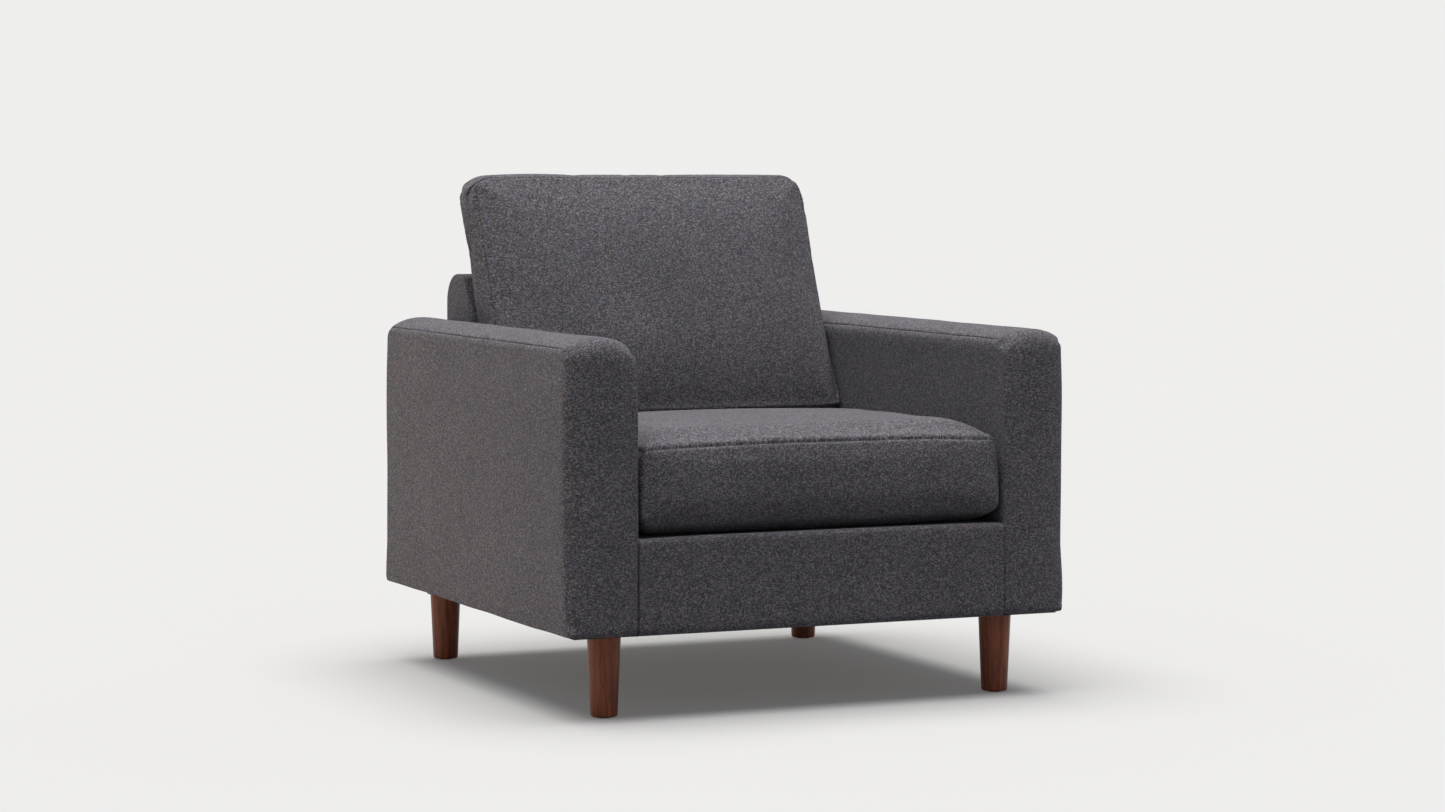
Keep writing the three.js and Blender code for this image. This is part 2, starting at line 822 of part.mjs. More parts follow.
// How far a slider starts from the middle of its zip.
function sliderStart(length) {
  return length / 2 - sliderLength / 2 - 2 * clearance;
}

function addCushion(name, corners, halfWidth, edge, zipMargin, zipTurn, zipPlace) {
  const span = [-halfWidth, halfWidth];
  const zipLength = 2 * (halfWidth - zipMargin);
  const slot = zipSlot(zipLength).rotateX(zipTurn).translate(...zipPlace);
  const cover = subtract(
    paddedForm(corners, span, edge),
    paddedForm(corners, span, edge, coverWall),
    slot,
  );
  addPiece(`${name}_cover`, cover, "cloth");
  addPiece(`${name}_core`, paddedForm(corners, span, edge, coverWall + clearance), "foam");
  const tape = addPiece(`${name}_zip`, zipTapeGeometry(zipLength), "nylon");
  const slider = addPiece(`${name}_zip_slider`, zipSliderGeometry(), "zincSteel");
  for (const piece of [tape, slider]) {
    piece.rotation.x = zipTurn;
    piece.position.set(...zipPlace);
  }
  slider.position.x += sliderStart(zipLength);
}

function addSeatCushion() {
  const corners = [
    [front, seatBottom, seatFrontRadius],
    [seatRear, seatBottom, seatFrontRadius],
    [seatRear, seatTop, seatRearTopRadius],
    [front, seatTop, seatFrontRadius],
  ];
  const zipZ = seatBottom + seatCushionHeight / 2;
  const facingRear = -Math.PI / 2;
  addCushion(
    "seat_cushion",
    corners,
    innerX - seatSideGap,
    seatEdge,
    seatZipMargin,
    facingRear,
    [0, seatRear, zipZ],
  );
}

function addBackCushion() {
  const rise = slope * (backCushionTop - backCushionBottom);
  const corners = [
    [backCushionFront, backCushionBottom, backCushionBottomRadius],
    [backCushionRear, backCushionBottom, backCushionBottomRadius],
    [backCushionRear + rise, backCushionTop, backCushionTopRadius],
    [backCushionFront + rise, backCushionTop, backCushionTopRadius],
  ];
  const zipY = backCushionRear - backCushionBottomRadius - zipWidth / 2;
  const facingDown = Math.PI;
  addCushion(
    "back_cushion",
    corners,
    innerX - backSideGap,
    backCushionEdge,
    backZipMargin,
    facingDown,
    [0, zipY, backCushionBottom],
  );
}

// ---- Assembly -----------------------------------------------------------------------------------

addSeatRails();
for (const [sideName, side] of [["left", -1], ["right", 1]]) {
  addArmFrame(sideName, side);
  addLegAssembly(`${sideName}_front`, side, legFrontY, legBehindFrontPost);
  addLegAssembly(`${sideName}_rear`, side, legRearY, legBeforeRearPost);
  addArmUpholstery(sideName, side);
}
addBackFrame();
addBackWebbing();
addSeatSprings();
addClipStrip("front_spring_clips", frontRailRear, springStartY);
addClipStrip("rear_spring_clips", springRailFront, springEndY);
addFrontRailUpholstery();
addDeck();
addBackCover();
addDustCover();
addSeatCushion();
addBackCushion();

export default chair;
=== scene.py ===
"""An upholstered lounge chair, finished for rendering.

The chair's construction comes as a fixed frame of named parts, all in metres, with +Z up and
the front facing -Y. This script dresses that frame: sewn cloth covers go over the arms, the
front rail and the low back, two loose cushions are blown up by a cloth simulation, and the
legs get turned walnut. Each step says what the piece is and why it is made this way.
"""

# %% [markdown]
# # The frame
# Everything is fitted to the imported parts, whose boxes say where each new piece goes. Each new
# piece moves with a body, and the part it stands for is hidden. Left is the -X side.

# %% Load the frame
import json
import math

import bpy
import numpy as np
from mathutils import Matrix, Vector

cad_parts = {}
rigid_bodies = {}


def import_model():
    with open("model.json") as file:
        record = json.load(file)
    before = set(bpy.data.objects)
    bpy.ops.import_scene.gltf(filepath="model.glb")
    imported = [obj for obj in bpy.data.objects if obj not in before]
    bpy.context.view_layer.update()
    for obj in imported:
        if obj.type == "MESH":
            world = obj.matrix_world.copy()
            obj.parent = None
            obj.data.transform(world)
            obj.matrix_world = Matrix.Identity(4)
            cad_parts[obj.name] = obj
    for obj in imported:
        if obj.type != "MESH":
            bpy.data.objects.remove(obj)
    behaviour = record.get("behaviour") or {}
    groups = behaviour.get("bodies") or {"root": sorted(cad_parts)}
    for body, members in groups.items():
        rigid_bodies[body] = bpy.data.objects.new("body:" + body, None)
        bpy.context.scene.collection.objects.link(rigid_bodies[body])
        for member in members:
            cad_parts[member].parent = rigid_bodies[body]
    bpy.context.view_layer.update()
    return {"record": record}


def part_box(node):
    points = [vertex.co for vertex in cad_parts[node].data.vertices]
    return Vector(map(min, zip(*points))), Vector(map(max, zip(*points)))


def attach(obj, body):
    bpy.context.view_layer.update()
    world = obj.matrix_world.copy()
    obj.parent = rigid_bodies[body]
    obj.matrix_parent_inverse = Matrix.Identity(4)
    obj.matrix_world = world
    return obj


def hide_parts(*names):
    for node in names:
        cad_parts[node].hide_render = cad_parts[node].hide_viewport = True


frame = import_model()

MM = 0.001

ARM_LOW, ARM_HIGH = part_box("right_arm_cover")
RAIL_LOW, RAIL_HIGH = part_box("front_rail_cover")
BACK_LOW, BACK_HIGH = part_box("back_frame_cover")
SEAT_LOW, SEAT_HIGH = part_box("seat_cushion_cover")
LEAN_LOW, LEAN_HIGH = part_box("back_cushion_cover")
DECK_LOW, DECK_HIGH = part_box("deck_pad")
LEG_CORNERS = ("left_front", "right_front", "left_rear", "right_rear")

# %% [markdown]
# # Camera
# A long lens, level with the top of the back cushion, keeps the upright edges upright.

# %% Camera
AZIMUTH, ELEVATION = math.radians(-24.02), math.radians(3.855)
TARGET = Vector((0.0131, -0.0058, 0.4512))
DISTANCE, LENS = 6.041, 90.4


def add_object(name, data):
    made = bpy.data.objects.new(name, data)
    bpy.context.scene.collection.objects.link(made)
    return made


def place_camera():
    """A camera that looks at the target from the distance, at the azimuth and elevation."""
    level = math.cos(ELEVATION)
    back = Vector((math.sin(AZIMUTH) * level, -math.cos(AZIMUTH) * level, math.sin(ELEVATION)))
    camera = add_object("camera", bpy.data.cameras.new("camera"))
    camera.data.sensor_fit = "HORIZONTAL"
    camera.data.sensor_width = 36
    camera.data.lens = LENS
    camera.location = TARGET + back * DISTANCE
    camera.rotation_euler = (-back).to_track_quat("-Z", "Y").to_euler()
    bpy.context.scene.camera = camera


place_camera()
bpy.context.scene.view_settings.view_transform = "Standard"

# %% [markdown]
# # Small helpers for materials
# A material is a tree of nodes. One function makes a node and fills its sockets, one finishes a
# material, and the rest wrap maths, noise and colour ramps.

# %% Node helpers
def start_material(name, roughness, sheen=0.0, specular=0.5, metallic=0.0):
    """A material and its tree, with the even values set on its shader's own sockets."""
    material = bpy.data.materials.new(name)
    material.use_nodes = True
    shader = material.node_tree.nodes["Principled BSDF"]
    shader.inputs["Roughness"].default_value = roughness
    shader.inputs["Sheen Weight"].default_value = sheen
    shader.inputs["Sheen Roughness"].default_value = 0.45
    shader.inputs["Specular IOR Level"].default_value = specular
    shader.inputs["Metallic"].default_value = metallic
    return material, material.node_tree


def node(tree, kind, sockets=None, **settings):
    """A shader node with its settings, and each named socket set to a value or linked."""
    made = tree.nodes.new("ShaderNode" + kind)
    for key, value in settings.items():
        setattr(made, key, value)
    for key, value in (sockets or {}).items():
        if isinstance(value, bpy.types.NodeSocket):
            tree.links.new(value, made.inputs[key])
        else:
            made.inputs[key].default_value = value
    return made


def surface(material, colour, height, distance, strength=1.0, gloss=None):
    """Finishes a material: its colour, a bump whose height of 1 stands for the distance, and its
    roughness if that varies."""
    tree = material.node_tree
    shader = tree.nodes["Principled BSDF"]
    bump = node(tree, "Bump", {"Height": height, "Distance": distance, "Strength": strength})
    tree.links.new(bump.outputs[0], shader.inputs["Normal"])
    tree.links.new(colour, shader.inputs["Base Color"])
    if gloss is not None:
        tree.links.new(gloss, shader.inputs["Roughness"])
    return material


def maths(tree, operation, *values):
    return node(tree, "Math", dict(enumerate(values)), operation=operation).outputs[0]


def weighed(tree, parts, start=0.0):
    """The sum of a start value and of values times weights."""
    for value, weight in parts:
        start = maths(tree, "MULTIPLY_ADD", value, weight, start)
    return start


def times(tree, first, second):
    """Two colours or vectors multiplied."""
    return node(tree, "VectorMath", {0: first, 1: second}, operation="MULTIPLY").outputs[0]


def ramp(tree, factor, *stops):
    """A colour ramp through stops, each a place from 0 to 1 and a colour or a grey."""
    made = node(tree, "ValToRGB", {0: factor})
    elements = made.color_ramp.elements
    while len(elements) < len(stops):
        elements.new(0.5)
    for element, (place, colour) in zip(elements, stops):
        element.position = place
        element.color = (*np.broadcast_to(colour, 3), 1)
    return made.outputs["Color"]


def shades(tree, factor, dark, light):
    """From dark to light over the middle of a noise, where nearly all its values are."""
    return ramp(tree, factor, (0.3, dark), (0.7, light))


def noise(tree, vector, scale, detail=2.0, roughness=0.5):
    sockets = {"Vector": vector, "Scale": scale, "Detail": detail, "Roughness": roughness}
    return node(tree, "TexNoise", sockets).outputs["Fac"]


def stretched(tree, vector, *scale):
    """Coordinates multiplied along each axis."""
    return node(tree, "Mapping", {"Vector": vector, "Scale": scale}).outputs[0]


def pushed(tree, vector, space, scale, amount):
    """Coordinates pushed about by a noise in space."""
    wobble = node(tree, "TexNoise", {"Vector": space, "Scale": scale, "Detail": 1.0})
    sockets = {0: wobble.outputs["Color"], 3: amount}
    shift = node(tree, "VectorMath", sockets, operation="SCALE").outputs[0]
    return node(tree, "VectorMath", {0: vector, 1: shift}).outputs[0]


def weave(tree, vector, *pitches):
    """The over and under of a weave, -1 to 1: sines along two directions, multiplied."""
    turns = [2 * math.pi / pitch for pitch in pitches]
    waves = node(tree, "VectorMath", {0: stretched(tree, vector, *turns, 1)}, operation="SINE")
    split = node(tree, "SeparateXYZ", {0: waves.outputs[0]}).outputs
    return maths(tree, "MULTIPLY", split[0], split[1])


def object_space(tree):
    return node(tree, "TexCoord").outputs["Object"]


def on_cloth(tree):
    return node(tree, "UVMap", uv_map="cloth").outputs[0]


def seam_shaded(tree, colour, dark):
    """A colour darkened by painted shade in the seams' grooves, as strong as the seam attribute.
    """
    seam = node(tree, "Attribute", attribute_name="seam").outputs["Fac"]
    return times(tree, colour, ramp(tree, seam, (0.0, 1.0), (1.0, dark)))

# %% [markdown]
# # The upholstery cloth
# A plain wool-type weave of mixed fibres: charcoal with flecks of blue-grey, brown and pink, a
# warm dark grey from afar. An image could carry that, but cells hold their detail at every
# distance. Voronoi cells on the piece's own cloth map stand for the floats of yarn, each with its
# own tone and tint, and sines give the over and under. Sheen stands for the short nap.

# %% Cloth material
WARP_PITCH, WEFT_PITCH = 1.2 * MM, 1.0 * MM
YARN_TONES = (
    (0.05, (0.020, 0.019, 0.021)),
    (0.38, (0.058, 0.056, 0.060)),
    (0.62, (0.102, 0.098, 0.105)),
    (0.95, (0.250, 0.241, 0.252)),
)
YARN_TINTS = (
    (0.10, (0.86, 0.96, 1.16)),
    (0.35, (1.00, 1.00, 1.02)),
    (0.68, (1.02, 1.00, 0.99)),
    (0.92, (1.22, 0.97, 0.90)),
)


def cloth_material():
    """Mixed yarn: a tone and tint for each float, fuzz over it, painted shade in the seams, and a
    woven relief.
    """
    material, tree = start_material("upholstery_cloth", 0.92, sheen=0.08, specular=0.2)
    tint = tree.nodes["Principled BSDF"].inputs["Sheen Tint"]
    tint.default_value = (0.80, 0.82, 0.90, 1)
    space = object_space(tree)
    bent = pushed(tree, on_cloth(tree), space, 420.0, 0.9 * MM)
    cells = stretched(tree, bent, 1 / (2.0 * WEFT_PITCH), 1 / (1.25 * WARP_PITCH), 1)
    floats = node(tree, "TexVoronoi", {"Vector": cells, "Scale": 1.0}, voronoi_dimensions="2D")
    pick = node(tree, "SeparateColor", {0: floats.outputs["Color"]}).outputs
    fuzz = noise(tree, space, 900.0, 2.0, 0.6)
    clumps = noise(tree, space, 380.0, 2.0, 0.6)
    tone = weighed(tree, [(pick["Red"], 0.56), (fuzz, 0.5), (clumps, 0.7)], start=-0.3718)
    colour = times(tree, ramp(tree, tone, *YARN_TONES), ramp(tree, pick["Green"], *YARN_TINTS))
    colour = times(tree, colour, shades(tree, noise(tree, space, 6.0, 2.0), 0.95, 1.05))
    # Painted shade in the seams' grooves and the zip slots, read from the seam attribute.
    colour = seam_shaded(tree, colour, (0.42, 0.42, 0.44))
    woven = weave(tree, bent, WEFT_PITCH, WARP_PITCH)
    height = weighed(tree, [(woven, 0.30), (fuzz, 0.9)])
    return surface(material, colour, height, 0.35 * MM, 0.8)


cloth = cloth_material()
print(cloth.name, len(cloth.node_tree.nodes), "nodes")

# %% [markdown]
# # Sewn blocks
# Arms, back and cushions are all a box of cloth panels sewn together. Carved from a cube by hand,
# no seam could be found again. Here a block is a lattice of points on the six faces of a box,
# shaped by the fractions across, along and up. Four faces form a band that follows a rounded side
# view, and the two ends close it. Lines crowd together beside a seam, so that its crease is real
# geometry.

# %% Lines, outlines and the lattice
SEAM_STEPS = np.array([0.0, 0.6, 1.2, 1.9, 2.8, 4.0, 5.8, 8.5]) * MM
FACE_NAMES = ("left", "right", "front", "rear", "bottom", "top")
LEFT, FRONT, BOTTOM, TOP = 0, 2, 4, 5


def lines(length, step, low_seam=False, high_seam=False):
    """Fractions of a length: an even step apart, and closer beside a seam at either end."""
    low = SEAM_STEPS if low_seam else np.zeros(1)
    high = SEAM_STEPS if high_seam else np.zeros(1)
    count = max(int(round((length - low[-1] - high[-1]) / step)), 1)
    middle = np.linspace(low[-1], length - high[-1], count + 1)
    return np.concatenate([low[:-1], middle, (length - high[:-1])[::-1]]) / length


def outline(*corners):
    """A side view with round corners, walked clockwise from the middle of its first corner. Each
    corner is (y, z, radius, marked), and the centre of its arc lies on the line that halves it, at
    radius / sin(half angle). The four marked corners part front, top, rear and bottom."""
    arc = 16  # steps round each corner
    place = np.array([corner[:2] for corner in corners], float)
    radius = np.maximum([corner[2] for corner in corners], 0.1 * MM)[:, None]
    before = np.roll(place, 1, axis=0) - place
    before /= np.linalg.norm(before, axis=1, keepdims=True)
    after = np.roll(place, -1, axis=0) - place
    after /= np.linalg.norm(after, axis=1, keepdims=True)
    half = np.arccos((before * after).sum(1, keepdims=True)) / 2
    halving = (before + after) / np.linalg.norm(before + after, axis=1, keepdims=True)
    centre = place + halving * radius / np.sin(half)
    start = place + before * radius / np.tan(half) - centre
    turn = (2 * half - math.pi) * np.linspace(0, 1, arc + 1)
    angle = np.arctan2(start[:, 1:], start[:, :1]) + turn
    normal = np.stack([np.cos(angle), np.sin(angle)], -1)
    walk = (centre[:, None] + radius[:, None] * normal).reshape(-1, 2)
    steps = np.linalg.norm(np.roll(walk, -1, axis=0) - walk, axis=1)
    far = np.concatenate([[0.0], np.cumsum(steps)])
    marks = [far[(arc + 1) * n + arc // 2] for n, corner in enumerate(corners) if corner[3]]
    return {
        "far": np.concatenate([far[:-1], far[:-1] + far[-1]]),
        "walk": np.tile(walk, (2, 1)),
        "normal": np.tile(normal.reshape(-1, 2), (2, 1)),
        "marks": [*marks, marks[0] + far[-1]],
        "centre": walk.mean(0),
    }


def grid_quads(ids):
    """The quads between neighbours in a grid of point numbers."""
    corners = [ids[:-1, :-1], ids[1:, :-1], ids[1:, 1:], ids[:-1, 1:]]
    return np.stack(corners, -1).reshape(-1, 4)


def lattice(across, along, up):
    """Points on the six faces of a box, as fractions, and the outward quads that join them."""
    size = (len(across), len(along), len(up))
    place = np.indices(size)
    last = np.array(size).reshape(3, 1, 1, 1) - 1
    skin = ((place == 0) | (place == last)).any(0)
    ids = np.full(size, -1)
    ids[skin] = np.arange(skin.sum())
    i, j, k = place[:, skin]
    grids = (ids[0], ids[-1], ids[:, 0], ids[:, -1], ids[:, :, 0], ids[:, :, -1])
    quads = [grid_quads(grid) for grid in grids]
    for name in ("left", "rear", "bottom"):
        number = FACE_NAMES.index(name)
        quads[number] = quads[number][:, ::-1]
    return {
        "fractions": np.stack([across[i], along[j], up[k]], 1),
        "quads": np.concatenate(quads),
        "face": np.repeat(np.arange(6), [len(part) for part in quads]),
        "grids": dict(zip(FACE_NAMES, grids)),
        "lines": (across, along, up),
    }


def seam_rings(net, names=("left", "right")):
    """The points round the edges of some faces of a lattice."""
    grids = [net["grids"][name] for name in names]
    return np.concatenate([
        np.concatenate([grid[0], grid[-1], grid[:, 0], grid[:, -1]]) for grid in grids
    ])


def quad_middles(net, points):
    return points[net["quads"]].mean(1)


# %% The block's shape
def follow(shape, along, up):
    """Where fractions along and up lie on the outline, and their ring: 1 on the outline and 0 in
    the middle. A ring is where the larger distance from the middle is the same."""
    a, b = 2 * along - 1, 2 * up - 1
    ring = np.maximum(np.abs(a), np.abs(b))
    a, b = a / np.maximum(ring, 1e-9), b / np.maximum(ring, 1e-9)
    along, up = (a + 1) / 2, (b + 1) / 2
    m = shape["marks"]
    upright = np.where(a < 0, m[0] + up * (m[1] - m[0]), m[3] + up * (m[2] - m[3]))
    level = np.where(b > 0, m[1] + along * (m[2] - m[1]), m[4] + along * (m[3] - m[4]))
    far = np.where(np.abs(a) >= np.abs(b), upright, level)
    place, normal = (
        np.stack([np.interp(far, shape["far"], values) for values in shape[key].T], 1)
        for key in ("walk", "normal")
    )
    return ring, far, place, normal


def block(net, shape, half, inset):
    """Points of a sewn block with level ends, in metres, and how far round each lies. The band is
    the outline moved inwards by the inset. The ends are rings of the band's edge, shrunk towards
    the middle."""
    across, along, up = net["fractions"].T
    side = 2 * across - 1
    ring, far, place, normal = follow(shape, along, up)
    place = place - normal * inset(side, place, normal)[:, None]
    place = shape["centre"] + ring[:, None] * (place - shape["centre"])
    return np.column_stack([side * half, place]), far


def seam_share(half, drop):
    """The share of the half width at which the quarter ellipse that rounds a padded edge, half
    wide and drop high, slopes down at 45 degrees. A seam lies there."""
    return half / np.sqrt(half**2 + drop**2)


def padded_block(net, shape, middle, half, drop, puff):
    """Points of a sewn block whose long edges are padded, and how far round each lies. Across the
    band the surface falls away as drop * (1 - sqrt(1 - x^2)), as far as the seam. The end panel
    carries the same ellipse on until it is level, and swells by puff * (1 - a^2)(1 - b^2), a and b
    from -1 to 1."""
    across, along, up = net["fractions"].T
    side = 2 * across - 1
    ring, far, place, normal = follow(shape, along, up)
    height = drop(side, place, normal)
    share = seam_share(half, height)
    fallen = 1 - np.sqrt(1 - (side * share) ** 2)
    place = place - normal * (height * fallen)[:, None]
    inward = (1 - ring) * ((place - shape["centre"]) * normal).sum(1)
    place = shape["centre"] + ring[:, None] * (place - shape["centre"])
    onward = np.clip(1 - fallen - inward / height, 0, 1)
    swollen = puff * (1 - (2 * along - 1) ** 2) * (1 - (2 * up - 1) ** 2)
    panel = np.sign(side) * (half * np.sqrt(1 - onward**2) + swollen)
    x = np.where(np.abs(side) < 1, side * share * half, panel)
    return np.column_stack([middle + x, place]), far


def padded_lines(half, drop, step):
    """Fractions across a padded band, evenly apart along its ellipse, closer at the seams."""
    side = np.sin(np.linspace(-math.pi / 2, math.pi / 2, 2001))
    x = side * seam_share(half, drop)
    run = np.hypot(np.diff(x * half), np.diff(drop * np.sqrt(1 - x**2)))
    far = np.concatenate([[0.0], np.cumsum(run)])
    return (np.interp(lines(far[-1], step, True, True) * far[-1], far, side) + 1) / 2


def by_facing(normal, front, rear, top, bottom):
    """Four values blended by the squares of the outline's directions."""
    ahead, over = normal.T
    blended = front * np.minimum(ahead, 0) ** 2 + rear * np.maximum(ahead, 0) ** 2
    return blended + top * np.maximum(over, 0) ** 2 + bottom * np.minimum(over, 0) ** 2


# %% [markdown]
# # Seams
# Two panels are sewn face to face and turned, so the outside shows a fine crease between two soft
# lips. A bump map would vanish in silhouette, so the crease is pressed into the mesh by an amount
# that dies away from the seam. A slow waver in it stands for the pull of single stitches. The
# shade in the crease is also painted into the cloth's colour, through a seam attribute.

# %% Seam and surface helpers
LIP_REACH = 5 * MM
STITCH_WAVER, STITCH_WAVE = 0.18, 22 * MM


def normals_of(points, quads):
    """Each point's outward direction, from the sum of the face directions round it."""
    a, b, c, d = (points[quads[:, corner]] for corner in range(4))
    face = np.cross(c - a, d - b)
    total = np.zeros_like(points)
    for corner in range(4):
        np.add.at(total, quads[:, corner], face)
    return total / np.maximum(np.linalg.norm(total, axis=1, keepdims=True), 1e-12)


def ripple(points, wavelength, seed, waves=9):
    """A smooth waver of about -1 to 1: plane waves in random directions, summed and divided by
    the root of their number."""
    dice = np.random.default_rng(seed)
    heading = dice.normal(size=(waves, 3))
    heading /= np.linalg.norm(heading, axis=1, keepdims=True)
    pace = 2 * math.pi / (wavelength * dice.uniform(0.7, 1.4, waves))
    phase = dice.uniform(0, 2 * math.pi, waves)
    return np.sin(points @ (heading * pace[:, None]).T + phase).sum(1) / math.sqrt(waves)


def rippled(points, quads, height, wavelength, seed):
    """Points moved out and in along their normals by a ripple of this height."""
    move = height * ripple(points, wavelength, seed)
    return points + normals_of(points, quads) * move[:, None]


def distance_to(points, marks):
    """The distance from each point to the nearest mark: the root of |p|^2 + |m|^2 - 2 p.m."""
    nearest = []
    for part in np.array_split(points, max(len(points) // 4096, 1)):
        square = (part**2).sum(1)[:, None] + (marks**2).sum(1) - 2 * part @ marks.T
        nearest.append(np.sqrt(np.maximum(square.min(1), 0)))
    return np.concatenate(nearest)


def sew(points, quads, seam, depth=1.9 * MM, width=1.2 * MM, lip=0.3 * MM, share=1.0):
    """Presses seams into a surface and returns the new points and the painted shade of the seam's
    groove at each, share * exp(-(d / 1 mm)^2). A point moves in by depth * exp(-d / width) and out
    by lip * (d / r) exp(1 - d / r), d from the seam, r the lip's reach. A small share makes a
    faint seam, as where panels are pulled flat."""
    d = distance_to(points, points[np.unique(seam)])
    far = d / LIP_REACH
    waver = 1 + STITCH_WAVER * ripple(points, STITCH_WAVE, 3)
    move = share * (lip * far * np.exp(1 - far) - waver * depth * np.exp(-d / width))
    # The painted shade in the seam's groove.
    dark = share * np.exp(-((d / (1.0 * MM)) ** 2))
    return points + normals_of(points, quads) * move[:, None], dark


def turn(side, half, radius, steep=1.0):
    """How far a round edge has dropped at a place from -1 to 1 across: an arc of the radius, which
    ends where the sine of its slope is steep."""
    into = np.clip(steep - half * (1 - np.abs(side)) / radius, 0, 1)
    return radius * (1 - np.sqrt(1 - into**2))


def smooth(value, low, high):
    """0 below low, 1 above high, and an even S between."""
    t = np.clip((value - low) / (high - low), 0, 1)
    return t * t * (3 - 2 * t)


# %% Mesh helpers
WALL = 1.6 * MM
HEM = 18 * MM


def cloth_map(net, points, far, shape):
    """Where each quad's corners lie on the flat cloth, in metres: the band's panels by their place
    across and round, the ends by their place along and up."""
    quads, face = net["quads"], net["face"][:, None]
    marks = shape["marks"]
    round_it = far[quads]
    wrapped = (face == BOTTOM) & (round_it < marks[2])
    round_it = np.where(wrapped, round_it + marks[4] - marks[0], round_it)
    x, y, z = (points[quads][..., axis] for axis in range(3))
    on_end = face < FRONT
    return np.stack([np.where(on_end, y, x), np.where(on_end, z, round_it)], -1)


def smooth_mesh(name, points, faces, finish):
    mesh = bpy.data.meshes.new(name)
    mesh.from_pydata(points, [], faces)
    mesh.polygons.foreach_set("use_smooth", np.ones(len(mesh.polygons), bool))
    mesh.materials.append(finish)
    return mesh


def hand_over(made, body, replaced):
    """Puts a piece on the body it rides on and hides the part it stands for."""
    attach(made, body)
    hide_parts(replaced)


def build(name, points, quads, finish, cloth_uv=None, seam=None):
    """A smooth mesh object from points and faces. Unused points go."""
    used, faces = np.unique(quads, return_inverse=True)
    mesh = smooth_mesh(name, points[used], faces.reshape(quads.shape), finish)
    if cloth_uv is not None:
        layer = mesh.uv_layers.new(name="cloth")
        layer.data.foreach_set("uv", cloth_uv.astype(np.float32).ravel())
    # The seam attribute carries painted shade for seams and zip slots, which the cloth materials
    # read.
    if seam is not None:
        attribute = mesh.attributes.new("seam", "FLOAT", "POINT")
        attribute.data.foreach_set("value", seam[used].astype(np.float32))
    mesh.update()
    return add_object(name, mesh)


def thicken(made, thickness):
    """Gives a surface the thickness of its cloth, inwards."""
    wall = made.modifiers.new("cloth thickness", "SOLIDIFY")
    wall.thickness = thickness
    wall.offset = -1


def make_cover(part, points, quads, uv, seam, body="chair"):
    """An upholstery cover: a sewn surface as thick as its cloth, over padding."""
    made = build(f"{part}_upholstery", points, quads, cloth, uv, seam)
    hand_over(made, body, f"{part}_cover")
    thicken(made, WALL)
    low, high = (np.array(end) / MM for end in (points.min(0), points.max(0)))
    print(made.name, len(quads), "quads, from", low.round(1), "to", high.round(1))


def make_foam(part, kind, points, quads, body="chair"):
    made = build(f"{part}_foam", points, quads, foam)
    hand_over(made, body, f"{part}_{kind}")
    print(made.name, len(quads), "quads")

# %% [markdown]
# # The arms
# Each arm is a timber box padded with foam and covered tight: one long strip goes up the front,
# over the top and down the back, and a flat panel closes each side. Padding makes the long edges
# elliptical, with the seam on the shoulder of the ellipse. Down the inner front edge the round
# dies away, until beside the front rail the two cloths lie flush.

# %% Arm covers
ARM_HALF = (ARM_HIGH.x - ARM_LOW.x) / 2
ARM_MIDDLE = (ARM_HIGH.x + ARM_LOW.x) / 2
ARM_CREST = ARM_HIGH.z - 1.5 * MM
ARM_TOP_DROP, ARM_REAR_DROP, ARM_BOTTOM_DROP = 30 * MM, 18 * MM, 2.4 * MM
ARM_CORNER_DROP = 8 * MM
ARM_SWELL = 1.2 * MM
OUTER_HEIGHTS = np.array([138, 240]) * MM
OUTER_DROPS = np.array([14, 30]) * MM
INNER_HEIGHTS = np.array([285, 500, 550, 575]) * MM
INNER_DROPS = np.array([2.5, 3.5, 12, 30]) * MM

arm_view = outline(
    (ARM_LOW.y, ARM_LOW.z, 11 * MM, True),
    (ARM_LOW.y, ARM_CREST, 30 * MM, True),
    (ARM_HIGH.y, ARM_CREST, 38 * MM, True),
    (ARM_HIGH.y, ARM_LOW.z, 14 * MM, True),
)


def arm_drop(side, place, normal):
    """The height of the edge ellipse on each part of the band. Side is 1 at the outer seam and -1
    at the inner one. The rear edge is less round near the floor."""
    z = place[:, 1]
    inner = np.interp(z, INNER_HEIGHTS, INNER_DROPS)
    front = np.where(side > 0, np.interp(z, OUTER_HEIGHTS, OUTER_DROPS), inner)
    rear = ARM_REAR_DROP * (0.35 + 0.65 * smooth(z, ARM_LOW.z, ARM_LOW.z + 80 * MM))
    drop = by_facing(normal, front, rear, ARM_TOP_DROP, ARM_BOTTOM_DROP)
    ahead, over = normal.T
    return drop + ARM_CORNER_DROP * (2 * np.minimum(ahead, 0) * np.maximum(over, 0)) ** 2


def soften_shoulder(points):
    """Draws the outer side in below its top seam by 2.6 mm * r * exp(1 - r), r the depth below the
    seam over 20 mm, so that the shoulder runs out slowly."""
    below_seam = np.maximum(ARM_CREST - 16 * MM - points[:, 2], 0) / (20 * MM)
    side = np.maximum((points[:, 0] - ARM_MIDDLE) / ARM_HALF, 0)
    points[:, 0] -= side**6 * 2.6 * MM * below_seam * np.exp(1 - below_seam)
    return points


def arm_seam_share(points):
    """Clear seams along the top, faint ones down the upright edges, none at the lower corners."""
    _, y, z = points.T
    along_top = smooth(y, ARM_LOW.y + 20 * MM, ARM_LOW.y + 62 * MM)
    along_top *= smooth(z, ARM_CREST - 70 * MM, ARM_CREST - 30 * MM)
    upright = 0.18 * smooth(z, ARM_LOW.z + 25 * MM, ARM_LOW.z + 80 * MM)
    return np.maximum(along_top, upright)


